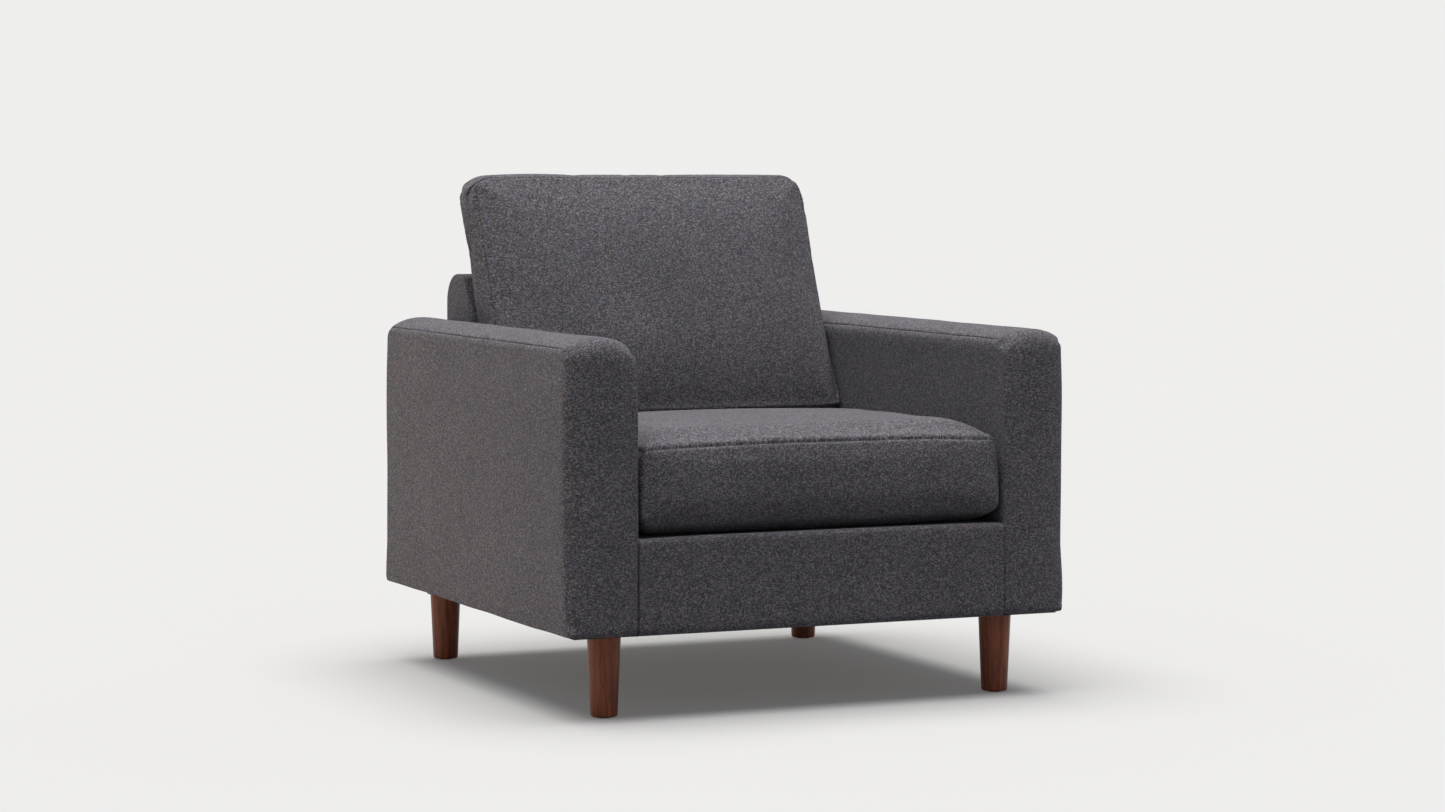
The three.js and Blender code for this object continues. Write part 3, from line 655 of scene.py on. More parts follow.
def arm_surface(step):
    """The right arm's lattice, its points before sewing, and the walk round the outline. The outer
    side is tucked in by 2 mm at the lower edge, and by 9 mm at its front corner."""
    net = lattice(
        padded_lines(ARM_HALF, ARM_TOP_DROP, step * 0.8),
        lines(ARM_HIGH.y - ARM_LOW.y, step, True, True),
        lines(ARM_CREST - ARM_LOW.z, step, True, True),
    )
    points, far = padded_block(net, arm_view, ARM_MIDDLE, ARM_HALF, arm_drop, ARM_SWELL)
    x, y, z = points.T
    ahead = 1 - smooth(y, ARM_LOW.y + 4 * MM, ARM_LOW.y + 24 * MM)
    tuck = (2 + 7 * ahead) * MM * np.clip(1 - (z - ARM_LOW.z) / (75 * MM), 0, 1) ** 2
    points[:, 0] -= tuck * smooth(x, ARM_MIDDLE, ARM_HIGH.x)
    return net, soften_shoulder(points), far


def arm_open_quads(net, points):
    """Every quad except the open underside within the hem, and the window on the inner side where
    the seat rails pass into the frame."""
    x, y, z = quad_middles(net, points).T
    inside = (np.abs(x - ARM_MIDDLE) < ARM_HALF - HEM) & (np.abs(y) < ARM_HIGH.y - HEM)
    window = (y > RAIL_LOW.y + 12 * MM) & (y < BACK_LOW.y) & (z < DECK_HIGH.z - 10 * MM)
    face = net["face"]
    return ~((face == BOTTOM) & inside | (face == LEFT) & window)


def make_arm_cover(side_name):
    net, points, far = arm_surface(9 * MM)
    keep = arm_open_quads(net, points)
    uv, quads = cloth_map(net, points, far, arm_view), net["quads"]
    share = arm_seam_share(points)
    points, seam = sew(points, quads, seam_rings(net), 1.6 * MM, 1.1 * MM, share=share)
    if side_name == "left":
        points, quads, uv = points * (-1, 1, 1), quads[:, ::-1], uv[:, ::-1]
    points = rippled(points, quads, 0.5 * MM, 0.16, 11)
    make_cover(f"{side_name}_arm", points, quads[keep], uv[keep], seam)


for side_name in ("left", "right"):
    make_arm_cover(side_name)

# %% [markdown]
# # Foam under the covers
# Foam made apart from its cover would show through it wherever the cover is rounder. So it is made
# as the space between cover and timber: its outside is the cover's surface moved a little inwards,
# and its inside is those points carried most of the way to the timber box.

# %% Foam jackets
FOAM_GAP = 1.2 * MM
JACKET_DEPTH = 0.92
TIMBER_GAP = 0.3 * MM
NO_LIMIT = 9  # metres


def jacket(part, net, points, keep, timber_low, timber_high):
    """Closed foam between a cover's points and a box of timber: two copies of the kept quads, the
    inner one turned round, and quads that join their open edges."""
    quads = net["quads"][keep]
    outer = points - normals_of(points, net["quads"]) * (WALL + FOAM_GAP)
    inner = outer + JACKET_DEPTH * (np.clip(outer, timber_low, timber_high) - outer)
    count = len(points)
    edges = np.concatenate([quads[:, [corner, (corner + 1) % 4]] for corner in range(4)])
    _, kind, number = np.unique(
        np.sort(edges, 1), axis=0, return_inverse=True, return_counts=True
    )
    a, b = edges[number[kind.ravel()] == 1].T
    rim = np.stack([b, a, a + count, b + count], 1)
    quads = np.concatenate([quads, quads[:, ::-1] + count, rim])
    make_foam(part, "padding", np.concatenate([outer, inner]), quads)


def foam_material():
    """Cut foam: pale, a little yellowed in broad patches, with fine open pores."""
    material, tree = start_material("foam", 0.95, specular=0.1)
    space = object_space(tree)
    pores = node(tree, "TexVoronoi", {"Vector": space, "Scale": 900.0}).outputs["Distance"]
    patches = noise(tree, space, 9.0, 3.0)
    colour = shades(tree, patches, (0.72, 0.66, 0.47), (0.80, 0.75, 0.58))
    colour = times(tree, colour, ramp(tree, pores, (0.0, 0.7), (0.5, 1.0)))
    return surface(material, colour, pores, 0.6 * MM)


foam = foam_material()


def make_arm_foam(side_name):
    net, points, _ = arm_surface(16 * MM)
    z = quad_middles(net, points)[:, 2]
    keep = arm_open_quads(net, points) & (net["face"] != BOTTOM) & (z > ARM_LOW.z + 12 * MM)
    low, high = np.array(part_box("right_arm_inner_panel"))
    high[0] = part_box("right_arm_outer_panel")[1].x
    low, high = low - TIMBER_GAP, high + TIMBER_GAP
    if side_name == "left":
        points = points * (-1, 1, 1)
        low[0], high[0] = -high[0], -low[0]
        net = {**net, "quads": net["quads"][:, ::-1]}
    jacket(f"{side_name}_arm", net, points, keep, low, high)


for side_name in ("left", "right"):
    make_arm_foam(side_name)

# %% [markdown]
# # Front rail and back frame
# The front rail's cloth runs straight down from the deck, flush with the arms, so its two ends
# meet them in narrow upright seams. Its top front edge is 3 mm fuller between them. The back is a
# low board frame, upright behind the seat and leaning above it, with a generously rounded top rear
# edge.

# %% Front rail cover
RAIL_HALF = RAIL_HIGH.x
RAIL_FULLNESS = 3 * MM
rail_view = outline(
    (RAIL_LOW.y, RAIL_LOW.z, 7 * MM, True),
    (RAIL_LOW.y, RAIL_HIGH.z, 6 * MM, True),
    (RAIL_HIGH.y, RAIL_HIGH.z, 1 * MM, True),
    (RAIL_HIGH.y, RAIL_LOW.z, 1 * MM, True),
)


def make_front_rail():
    net = lattice(
        lines(2 * RAIL_HALF, 8 * MM, True, True),
        lines(RAIL_HIGH.y - RAIL_LOW.y, 6 * MM),
        lines(RAIL_HIGH.z - RAIL_LOW.z, 7 * MM),
    )
    points, far = block(net, rail_view, RAIL_HALF, lambda side, *_: 0 * side)
    x, y, z = points.T
    near = 1 - smooth(y, RAIL_LOW.y + 4 * MM, RAIL_LOW.y + 22 * MM)
    padding = near * smooth(z, RAIL_HIGH.z - 30 * MM, RAIL_HIGH.z)
    points[:, 2] += RAIL_FULLNESS * padding * (1 - (x / RAIL_HALF) ** 8)
    uv = cloth_map(net, points, far, rail_view)
    low, high = np.array(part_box("base_front_rail"))
    low = low - (NO_LIMIT, TIMBER_GAP, NO_LIMIT)
    high = high + (NO_LIMIT, NO_LIMIT, TIMBER_GAP)
    front_and_top = np.isin(net["face"], (FRONT, TOP))
    clear = points.copy()
    clear[:, 0] = np.clip(points[:, 0], -RAIL_HALF + 5 * MM, RAIL_HALF - 5 * MM)
    jacket("front_rail", net, clear, front_and_top, low, high)
    in_hem = quad_middles(net, points)[:, 1] < RAIL_LOW.y + HEM
    keep = front_and_top | ((net["face"] == BOTTOM) & in_hem)
    rings, quads = seam_rings(net), net["quads"]
    points, seam = sew(points, quads, rings, 0.8 * MM, 1.0 * MM, 0.1 * MM, share=0.75)
    make_cover("front_rail", points, quads[keep], uv[keep], seam)


make_front_rail()

# %% Back frame cover
BACK_HALF = BACK_HIGH.x
BACK_EDGE = 5.5 * MM
BEND = LEAN_LOW.z
LEAN_SLOPE = 0.4
BACK_TOP_FRONT = BACK_LOW.y + LEAN_SLOPE * (BACK_HIGH.z - BEND)
back_view = outline(
    (BACK_LOW.y, BACK_LOW.z, 7 * MM, True),
    (BACK_LOW.y, BEND, 14 * MM, False),
    (BACK_TOP_FRONT, BACK_HIGH.z, 14 * MM, True),
    (BACK_HIGH.y, BACK_HIGH.z, 50 * MM, True),
    (BACK_HIGH.y, BACK_LOW.z, 6 * MM, True),
)


def make_back_frame():
    size = (2 * BACK_HALF, BACK_HIGH.y - BACK_LOW.y, BACK_HIGH.z - BACK_LOW.z)
    net = lattice(*(lines(length, 9 * MM, True, True) for length in size))
    points, far = block(
        net, back_view, BACK_HALF, lambda side, *_: turn(side, BACK_HALF, BACK_EDGE, 0.75)
    )
    uv = cloth_map(net, points, far, back_view)
    x, y, _ = quad_middles(net, points).T
    inside = (np.abs(x) < BACK_HALF - HEM) & (y < BACK_HIGH.y - HEM) & (y > BACK_LOW.y + HEM)
    keep = ~((net["face"] == BOTTOM) & inside)
    rings, quads = seam_rings(net), net["quads"]
    points, seam = sew(points, quads, rings, 0.9 * MM, 1.0 * MM, 0.2 * MM)
    make_cover("back_frame", points, quads[keep], uv[keep], seam)


make_back_frame()

# %% [markdown]
# # Legs
# The legs are turned walnut: a straight taper with a slightly rounded foot and a crisp shoulder.
# Turning on a lathe is carrying one profile round an axis, and that is how the mesh is made, bores
# included. Grain is noise drawn out along the leg, with fine dark pores in it.

# %% Turned legs
FOOT_RADIUS, SHOULDER_RADIUS, GLIDE_RADIUS = 21.0 * MM, 26.5 * MM, 12 * MM
NAIL_BORE, NAIL_DEPTH = 1.5 * MM, 12 * MM
BOLT_BORE, BOLT_DEPTH = 4.3 * MM, 32.3 * MM


def turned(name, profile, centre, finish, segments=96):
    """A solid of revolution from (radius, height) points that start and end on the axis."""
    profile = np.array(profile)
    angle = np.linspace(0, 2 * math.pi, segments, endpoint=False)
    radius, height = profile[1:-1, :, None].transpose(1, 0, 2)
    x, y = centre[0] + radius * np.cos(angle), centre[1] + radius * np.sin(angle)
    ring = np.stack([x, y, np.broadcast_to(height, x.shape)], -1).reshape(-1, 3)
    poles = np.array([(*centre, profile[0, 1]), (*centre, profile[-1, 1])])
    row = np.arange(len(ring)).reshape(-1, segments)
    row = np.hstack([row, row[:, :1]])
    walls = grid_quads(row)[:, ::-1].tolist()
    ends = [(b, a, len(ring)) for a, b in zip(row[0], row[0, 1:])]
    ends += [(a, b, len(ring) + 1) for a, b in zip(row[-1], row[-1, 1:])]
    mesh = smooth_mesh(name, np.concatenate([ring, poles]), walls + ends, finish)
    mesh.set_sharp_from_angle(angle=math.radians(40))
    return add_object(name, mesh)


def rounded(corner, before, after, radius, steps=6):
    """Points that round a corner: a quadratic curve that starts and ends the radius away from
    it."""
    corner, before, after = (np.array(place, float) for place in (corner, before, after))
    start = corner + (before - corner) / np.linalg.norm(before - corner) * radius
    end = corner + (after - corner) / np.linalg.norm(after - corner) * radius
    t = np.linspace(0, 1, steps)[:, None]
    return ((1 - t) ** 2 * start + 2 * t * (1 - t) * corner + t**2 * end).tolist()


def walnut_material():
    """Dark oiled walnut: streaks drawn out along the leg, fine pores, and a satin surface."""
    material, tree = start_material("leg_walnut", 0.46, specular=0.3)
    space = object_space(tree)
    space = pushed(tree, space, space, 14.0, 6 * MM)
    streaks = noise(tree, stretched(tree, space, 150.0, 150.0, 9.0), 1.0, 4.0, 0.62)
    pores = noise(tree, stretched(tree, space, 900.0, 900.0, 38.0), 1.0, 2.0, 0.6)
    dark, middle, light = (0.100, 0.023, 0.010), (0.232, 0.062, 0.024), (0.430, 0.134, 0.056)
    wood = ramp(tree, streaks, (0.28, dark), (0.50, middle), (0.74, light))
    colour = times(tree, wood, ramp(tree, pores, (0.34, (0.55, 0.5, 0.5)), (0.48, 1.0)))
    gloss = ramp(tree, streaks, (0.2, 0.36), (0.8, 0.5))
    return surface(material, colour, pores, 0.15 * MM, 0.6, gloss)


walnut = walnut_material()

# %% Legs
def leg_profile(low, high):
    """Half the leg's section: nail bore, rounded foot, taper, crisp shoulder, bolt bore."""
    foot, shoulder = (FOOT_RADIUS, low), (SHOULDER_RADIUS, high)
    nail_end, bolt_end = low + NAIL_DEPTH, high - BOLT_DEPTH
    return [
        (0, nail_end), (NAIL_BORE, nail_end), (NAIL_BORE, low), (GLIDE_RADIUS, low),
        *rounded(foot, (0, low), shoulder, 3.4 * MM),
        *rounded(shoulder, foot, (0, high), 1.2 * MM),
        (BOLT_BORE, high), (BOLT_BORE, bolt_end), (0, bolt_end),
    ]


for corner in LEG_CORNERS:
    low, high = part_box(f"{corner}_leg")
    centre = ((low.x + high.x) / 2, (low.y + high.y) / 2)
    leg = turned(f"{corner}_turned_leg", leg_profile(low.z, high.z), centre, walnut)
    hand_over(leg, "chair", f"{corner}_leg")
print("legs", round((high.z - low.z) / MM), "mm tall")

# %% [markdown]
# # Underside and deck
# A thin black dust cover is stapled under the frame: one flat cut with a hole for each leg bolt,
# hanging a few millimetres between its staples. The deck is the padded cloth over the springs,
# seen only when the seat cushion is lifted out.

# %% Dust cover
DUST_SAG, DUST_RIPPLE = 5 * MM, 0.5 * MM


def dust_material():
    """Spunbonded polypropylene: near black, thin, with a grid of small welded points."""
    material, tree = start_material("dust_cloth", 0.85, sheen=0.1, specular=0.2)
    space = object_space(tree)
    welds = weave(tree, space, 3.0 * MM, 3.0 * MM)
    fibres = noise(tree, space, 120.0, 3.0)
    colour = shades(tree, fibres, (0.010, 0.010, 0.011), (0.022, 0.022, 0.024))
    return surface(material, colour, welds, 0.15 * MM)


def make_dust_cover():
    """A grid whose middle hangs by up to 5 mm, flat by the legs and along its stapled edge."""
    low, high = np.array(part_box("dust_cover"))
    bolts = np.array([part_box(f"{corner}_leg_bolt") for corner in LEG_CORNERS]).mean(1)[:, :2]
    even = np.linspace(low, high, 73)[:, :2]
    crossing = np.concatenate([even, bolts - 5 * MM, bolts + 5 * MM]).round(5)
    x, y = np.unique(crossing[:, 0]), np.unique(crossing[:, 1])
    grid = np.stack(np.meshgrid(x, y, indexing="ij"), -1).reshape(-1, 2)
    clear = smooth(distance_to(grid, bolts), 45 * MM, 190 * MM)
    edge = np.maximum((1 - (grid / high[:2]) ** 2).prod(1), 0)
    points = np.column_stack([grid, np.full(len(grid), high[2])])
    points[:, 2] -= DUST_SAG * clear * edge**0.6
    points[:, 2] -= DUST_RIPPLE * clear * (1 + ripple(points, 0.09, 5)) * edge**0.3
    quads = grid_quads(np.arange(len(grid)).reshape(len(x), len(y)))
    holes = distance_to(grid[quads].mean(1), bolts) < 4 * MM
    made = build("dust_cover_sheet", points, quads[~holes], dust_cloth)
    hand_over(made, "chair", "dust_cover")
    thicken(made, 0.7 * MM)


dust_cloth = dust_material()
make_dust_cover()

# %% Deck
DECK_STRIP = 80 * MM


def deck_material():
    """Platform cloth: plain dark cotton in a fine even weave."""
    material, tree = start_material("deck_cloth", 0.9, sheen=0.15, specular=0.2)
    woven = weave(tree, on_cloth(tree), 0.9 * MM, 0.9 * MM)
    tone = noise(tree, object_space(tree), 420.0, 3.0, 0.6)
    colour = shades(tree, tone, (0.030, 0.030, 0.034), (0.060, 0.058, 0.064))
    # Painted shade in the groove of the deck's sewn seam, from the seam attribute.
    return surface(material, seam_shaded(tree, colour, 0.5), woven, 0.15 * MM)


def make_deck():
    """A thin padded block with round edges, sewn across near the front."""
    view = outline(
        (DECK_LOW.y, DECK_LOW.z, 2 * MM, True),
        (DECK_LOW.y, DECK_HIGH.z, 4 * MM, True),
        (DECK_HIGH.y, DECK_HIGH.z, 4 * MM, True),
        (DECK_HIGH.y, DECK_LOW.z, 2 * MM, True),
    )
    length, half, step = DECK_HIGH.y - DECK_LOW.y, DECK_HIGH.x, 9 * MM
    behind = length - DECK_STRIP
    strip = lines(DECK_STRIP, step, False, True) * DECK_STRIP
    rest = lines(behind, step, True, False) * behind + DECK_STRIP
    along = np.concatenate([strip, rest[1:]]) / length
    net = lattice(lines(2 * half, step), along, np.linspace(0, 1, 4))
    points, far = block(net, view, half, lambda side, *_: turn(side, half, 3 * MM))
    uv = cloth_map(net, points, far, view)
    seam_row = net["grids"]["top"][:, len(strip) - 1]
    points, seam = sew(points, net["quads"], seam_row, depth=1.6 * MM, lip=0)
    made = build("seat_deck", points, net["quads"], deck_cloth, uv, seam)
    hand_over(made, "chair", "deck_pad")
    print("deck", len(made.data.polygons), "quads")


deck_cloth = deck_material()
make_deck()

# %% [markdown]
# # Finishes of the inner parts
# Timber, boards, springs and hardware keep the shapes they come with, and get a finish each: a
# colour that varies with noise along the way the material was made, and a fine relief.

# %% Inner finishes
def timber_material():
    """Planed beech: pale, with grain along the part's length and short dark flecks."""
    material, tree = start_material("frame_timber", 0.6, specular=0.3)
    space = object_space(tree)
    streaks = noise(tree, stretched(tree, space, 12.0, 160.0, 160.0), 1.0, 4.0, 0.6)
    flecks = noise(tree, stretched(tree, space, 160.0, 900.0, 900.0), 1.0, 1.0)
    colour = shades(tree, streaks, (0.42, 0.25, 0.13), (0.60, 0.40, 0.23))
    colour = times(tree, colour, ramp(tree, flecks, (0.33, (0.6, 0.55, 0.5)), (0.42, 1.0)))
    return surface(material, colour, streaks, 0.3 * MM, 0.5)


def board_material():
    """Fibreboard: mid brown, mottled, with no grain."""
    material, tree = start_material("frame_board", 0.75, specular=0.25)
    fibres = noise(tree, object_space(tree), 380.0, 4.0, 0.7)
    colour = shades(tree, fibres, (0.20, 0.12, 0.065), (0.34, 0.22, 0.13))
    return surface(material, colour, fibres, 0.2 * MM, 0.6)


def webbing_material():
    """Elastic webbing: black polypropylene with rubber threads, ribbed along its length."""
    material, tree = start_material("elastic_webbing", 0.7, specular=0.3)
    sockets = {"Vector": object_space(tree), "Scale": 160.0, "Distortion": 0.4}
    ribs = node(tree, "TexWave", sockets).outputs["Fac"]
    colour = ramp(tree, ribs, (0.2, (0.008, 0.008, 0.009)), (0.8, (0.05, 0.05, 0.052)))
    return surface(material, colour, ribs, 0.3 * MM)


def metal_material(name, dark, light, roughness, scale):
    """Metal with a drawn or plated surface: cloudy tone, and fine scratches in its roughness."""
    material, tree = start_material(name, roughness, metallic=1.0)
    space = object_space(tree)
    cloud = noise(tree, space, scale, 4.0, 0.6)
    scratches = noise(tree, space, 900.0, 2.0)
    gloss = shades(tree, scratches, roughness - 0.08, roughness + 0.12)
    return surface(material, shades(tree, cloud, dark, light), cloud, 0.05 * MM, 0.5, gloss)


def nylon_material(name, dark, light):
    """Moulded or woven nylon: nearly even, with a fine satin texture."""
    material, tree = start_material(name, 0.5, specular=0.45)
    grain = noise(tree, object_space(tree), 1500.0, 2.0)
    return surface(material, shades(tree, grain, dark, light), grain, 0.08 * MM, 0.7)


finishes = {
    "upholstery_cloth": cloth,
    "foam": foam,
    "leg_walnut": walnut,
    "dust_cloth": dust_cloth,
    "deck_felt": deck_cloth,
    "frame_timber": timber_material(),
    "frame_board": board_material(),
    "elastic_webbing": webbing_material(),
}
for name, dark, light, roughness, scale in (
    ("spring_steel", (0.16, 0.16, 0.17), (0.32, 0.32, 0.33), 0.38, 60.0),
    ("zinc_hardware", (0.48, 0.48, 0.50), (0.66, 0.66, 0.68), 0.34, 90.0),
):
    finishes[name] = metal_material(name, dark, light, roughness, scale)
for name, dark, light in (
    ("glide_nylon", (0.025, 0.022, 0.020), (0.045, 0.040, 0.036)),
    ("zip_nylon", (0.018, 0.018, 0.020), (0.040, 0.038, 0.042)),
):
    finishes[name] = nylon_material(name, dark, light)
for part in frame["record"]["subparts"]:
    for slot in bpy.data.objects[part["node"]].material_slots:
        slot.material = finishes[part["material_slot"]]

# %% [markdown]
# # Loose cushions
# A loose cushion is foam in a cover a little too small for it, so the panels swell between seams
# that stay short. A cloth simulation with air pressure does that well. It starts from the same
# sewn block, held where the cushion lies on the deck or against the back. How far each point moved
# is kept, limited, and read back onto a finer lattice, and seams are pressed in after that,
# because a simulation mesh is too coarse to hold them.

# %% Swelling
CLOTH_STIFFNESS, CLOTH_BENDING, CLOTH_MASS = 12.0, 0.6, 0.3
SEAM_HOLD = 0.6
SWELL_FRAMES = 20


def swell(net, points, held, seams, pressure, limit):
    """How far each point moves when the closed cover is blown up, at most the limit. Held points
    stay, and seams give only a little, because sewn layers stretch less than one. Long moves are
    shortened as limit * tanh(move / limit)."""
    trial = build("trial", points, net["quads"], cloth)
    group = trial.vertex_groups.new(name="held")
    group.add(np.unique(seams).tolist(), SEAM_HOLD, "REPLACE")
    group.add(np.flatnonzero(held).tolist(), 1.0, "REPLACE")
    air = trial.modifiers.new("air", "CLOTH")
    chosen = {
        "quality": 6, "mass": CLOTH_MASS, "bending_stiffness": CLOTH_BENDING,
        "tension_stiffness": CLOTH_STIFFNESS, "compression_stiffness": CLOTH_STIFFNESS,
        "shear_stiffness": CLOTH_STIFFNESS / 2, "vertex_group_mass": "held",
        "use_pressure": True, "uniform_pressure_force": pressure,
    }
    for key, value in chosen.items():
        setattr(air.settings, key, value)
    air.settings.effector_weights.gravity = 0
    air.collision_settings.use_collision = False
    air.point_cache.frame_start, air.point_cache.frame_end = 1, SWELL_FRAMES
    for frame_number in range(1, SWELL_FRAMES + 1):
        bpy.context.scene.frame_set(frame_number)
    shaped = trial.evaluated_get(bpy.context.evaluated_depsgraph_get()).data
    moved = np.empty(points.size)
    shaped.vertices.foreach_get("co", moved)
    mesh = trial.data
    bpy.data.objects.remove(trial)
    bpy.data.meshes.remove(mesh)
    bpy.context.scene.frame_set(1)
    move = moved.reshape(-1, 3) - points
    length = np.linalg.norm(move, axis=1, keepdims=True)
    return move * limit * np.tanh(length / limit) / np.maximum(length, 1e-9)


def reading(coarse, fine):
    """A matrix that reads values given at the coarse fractions at the fine ones, by the Catmull-
    Rom curve through four neighbours. Past the ends the values go on straight."""
    place = np.interp(fine, coarse, np.arange(len(coarse)))
    first = np.minimum(place.astype(int), len(coarse) - 2)
    t = (place - first)[:, None]
    parts = [-t + 2 * t**2 - t**3, 2 - 5 * t**2 + 3 * t**3, t + 4 * t**2 - 3 * t**3, t**3 - t**2]
    matrix = np.zeros((len(fine), len(coarse) + 2))
    matrix[np.arange(len(fine))[:, None], first[:, None] + np.arange(4)] = np.hstack(parts) / 2
    matrix[:, 1] += 2 * matrix[:, 0]
    matrix[:, 2] -= matrix[:, 0]
    matrix[:, -2] += 2 * matrix[:, -1]
    matrix[:, -3] -= matrix[:, -1]
    return matrix[:, 1:-1]


def carry(move, coarse, fine):
    """Moves on the coarse lattice's points, read at the fine lattice's, face by face."""
    across, along, up = (reading(*pair) for pair in zip(coarse["lines"], fine["lines"]))
    sides = [(along, up)] * 2 + [(across, up)] * 2 + [(across, along)] * 2
    carried = np.zeros_like(fine["fractions"])
    for name, (first, second) in zip(FACE_NAMES, sides):
        values = move[coarse["grids"][name]]
        carried[fine["grids"][name]] = np.einsum("ai,bj,ijk->abk", first, second, values)
    return carried


def below(value, ceiling, softness):
    """The smaller of the two, with a rounded change from one to the other."""
    return ceiling - softness * np.logaddexp(0, (ceiling - value) / softness)


def above(value, ground, softness):
    return -below(-value, -ground, softness)

# %% [markdown]
# A hidden zip lies in a slot between two folded edges of cloth. Lines crowd beside the slot in the
# cover's lattice, and it is pressed into them. The zip itself is one strip: a flat tape, and along
# its middle a coil of teeth, each half a tooth behind its neighbour across the line.

# %% Zips
SLOT_STEPS = np.array([0, 1.4, 2.7, 3.4, 4.1, 4.9, 6.4]) * MM
SLOT_EDGE, SLOT_DEPTH = 3.9 * MM, 2.6 * MM
COIL_HALF, COIL_HEIGHT, TOOTH_PITCH = 2.2 * MM, 0.85 * MM, 1.9 * MM
TAPE_SUNK, TAPE_THICKNESS = 0.7 * MM, 0.8 * MM


def fraction_at(shape, start, end, axis, value):
    """The fraction of the walk from one mark to another at which a coordinate has a value."""
    ends = shape["marks"][start], shape["marks"][end]
    on = (shape["far"] >= min(ends)) & (shape["far"] <= max(ends))
    place, far = shape["walk"][on, axis], shape["far"][on]
    order = np.argsort(place)
    return (np.interp(value, place[order], far[order]) - ends[0]) / (ends[1] - ends[0])


def crowd(fractions, place, length):
    """The same lines, with close ones on both sides of a place."""
    beside = SLOT_STEPS / length
    apart = fractions[np.abs(fractions - place) > 1.4 * beside[-1]]
    return np.sort(np.concatenate([apart, place - beside, place + beside[1:]]))


def press_slot(points, face, zip_name, out, sign, level):
    """Flattens a cover round its zip, presses the slot into it, and returns painted shade for the
    slot and along its two lips. Out is the axis that the zip faces along, sign its direction, and
    level where the outside of the cloth lies."""
    (_, *low), (end, *high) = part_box(zip_name)
    slider = np.array(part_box(f"{zip_name}_slider"))
    other = 3 - out
    middle = (low[other - 1] + high[other - 1]) / 2
    x, d = np.abs(points[:, 0]), points[:, other] - middle
    near, far = slider[:, other] - middle
    flat = 1 - smooth(np.maximum(near - d, d - far), 3 * MM, 12 * MM)
    flat *= 1 - smooth(x, end + 4 * MM, end + 20 * MM)
    slot = 1 - smooth(np.abs(d), 3.7 * MM, 4.9 * MM)
    slot *= 1 - smooth(x, end + 1 * MM, end + 4 * MM)
    on_face = np.zeros(len(points))
    on_face[face] = flat[face]
    points[:, out] += on_face * (level - sign * SLOT_DEPTH * slot - points[:, out])
    # Painted shade along the slot's two lips.
    slot_shade = np.exp(-(((np.abs(d) - SLOT_EDGE) / (0.9 * MM)) ** 2)) * (x < end)
    return points, np.maximum(slot_shade, slot) * (on_face > 0.5)


def make_zip(name, body, out, sign):
    """A closed zip: a sunk tape, and over it a coil of the height sqrt(1 - (w / half)^2) * (0.6 +
    0.4 cos(2 pi x / pitch)), turned over across the line."""
    low, high = np.array(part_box(name))
    other = 3 - out
    x = np.linspace(low[0], high[0], int((high[0] - low[0]) / (0.5 * MM)))[:, None]
    w = np.linspace(-0.5, 0.5, 13)[None, :] * (high[other] - low[other])
    ridge = np.sqrt(np.clip(1 - (w / COIL_HALF) ** 2, 0, 1))
    teeth = 0.6 + 0.4 * np.sign(w) * np.cos(2 * math.pi * x / TOOTH_PITCH)
    points = np.zeros((len(x), w.size, 3))
    points[..., 0] = x
    points[..., other] = w + (low[other] + high[other]) / 2
    top = (high if sign > 0 else low)[out]
    points[..., out] = top + sign * (COIL_HEIGHT * ridge * teeth - TAPE_SUNK)
    quads = grid_quads(np.arange(points[..., 0].size).reshape(len(x), -1))
    points = points.reshape(-1, 3)
    if normals_of(points, quads)[:, out].sum() * sign < 0:
        quads = quads[:, ::-1]
    made = build(f"{name}_teeth", points, quads, finishes["zip_nylon"])
    hand_over(made, body, name)
    thicken(made, TAPE_THICKNESS)
    print(made.name, len(quads), "quads")


for name, out, sign in (("seat_cushion", 1, 1), ("back_cushion", 2, -1)):
    make_zip(f"{name}_zip", name, out, sign)

# %% [markdown]
# Both cushions are made in the same way from their size, a side view, a function that shapes their
# lattice, one that says which points the simulation holds, and one that fits the swollen points
# between the neighbours.

# %% Cushions from their parts
COARSE_STEP, FINE_STEP = 11 * MM, 5.5 * MM
CORE_INSET, CORE_SHRINK = 4 * MM, 0.028


def make_cushion(name, size, view, shape, held, fit, seamed_faces, air, limit, slot, pressed):
    """A cushion's foam core, from the coarse swollen points a little further in, and its cover,
    from the fine ones with seams and zip slot pressed in. The slot is the zip's axis in the
    lattice and its place along it. Pressed is the slot's face, the axis and direction it faces,
    and its level."""
    coarse = lattice(*(lines(length, COARSE_STEP) for length in size))
    start, _ = shape(coarse)
    rings = seam_rings(coarse, seamed_faces)
    move = swell(coarse, start, held(coarse, start), rings, air, limit)
    core = fit(start + move)
    core -= normals_of(core, coarse["quads"]) * CORE_INSET
    core += CORE_SHRINK * (core.mean(0) - core)
    make_foam(name, "core", core, coarse["quads"], body=name)
    parts = [lines(length, FINE_STEP, True, True) for length in size]
    axis, place = slot
    parts[axis] = crowd(parts[axis], place, size[axis])
    fine = lattice(*parts)
    quads = fine["quads"]
    points, far = shape(fine)
    points = fit(rippled(points + carry(move, coarse, fine), quads, 0.9 * MM, 0.14, 21))
    uv = cloth_map(fine, points, far, view)
    points, seam = sew(points, quads, seam_rings(fine, seamed_faces), share=0.6)
    face, *facing = pressed
    points, slot_shade = press_slot(points, fine["grids"][face], f"{name}_zip", *facing)
    # Painted shade of the seams and of the zip slot, kept in one attribute.
    seam = np.maximum(seam, slot_shade)
    make_cover(name, points, quads, uv, seam, body=name)

# %% [markdown]
# # Seat cushion
# The seat cushion is boxed: top and bottom panels joined by a band all the way round, with a zip
# in the band at the rear. Its top crowns well over its seams, its front swells out flush with the
# arms, and its underside lies flat on the deck. Where the back cushion stands on it, the top is
# pressed level.

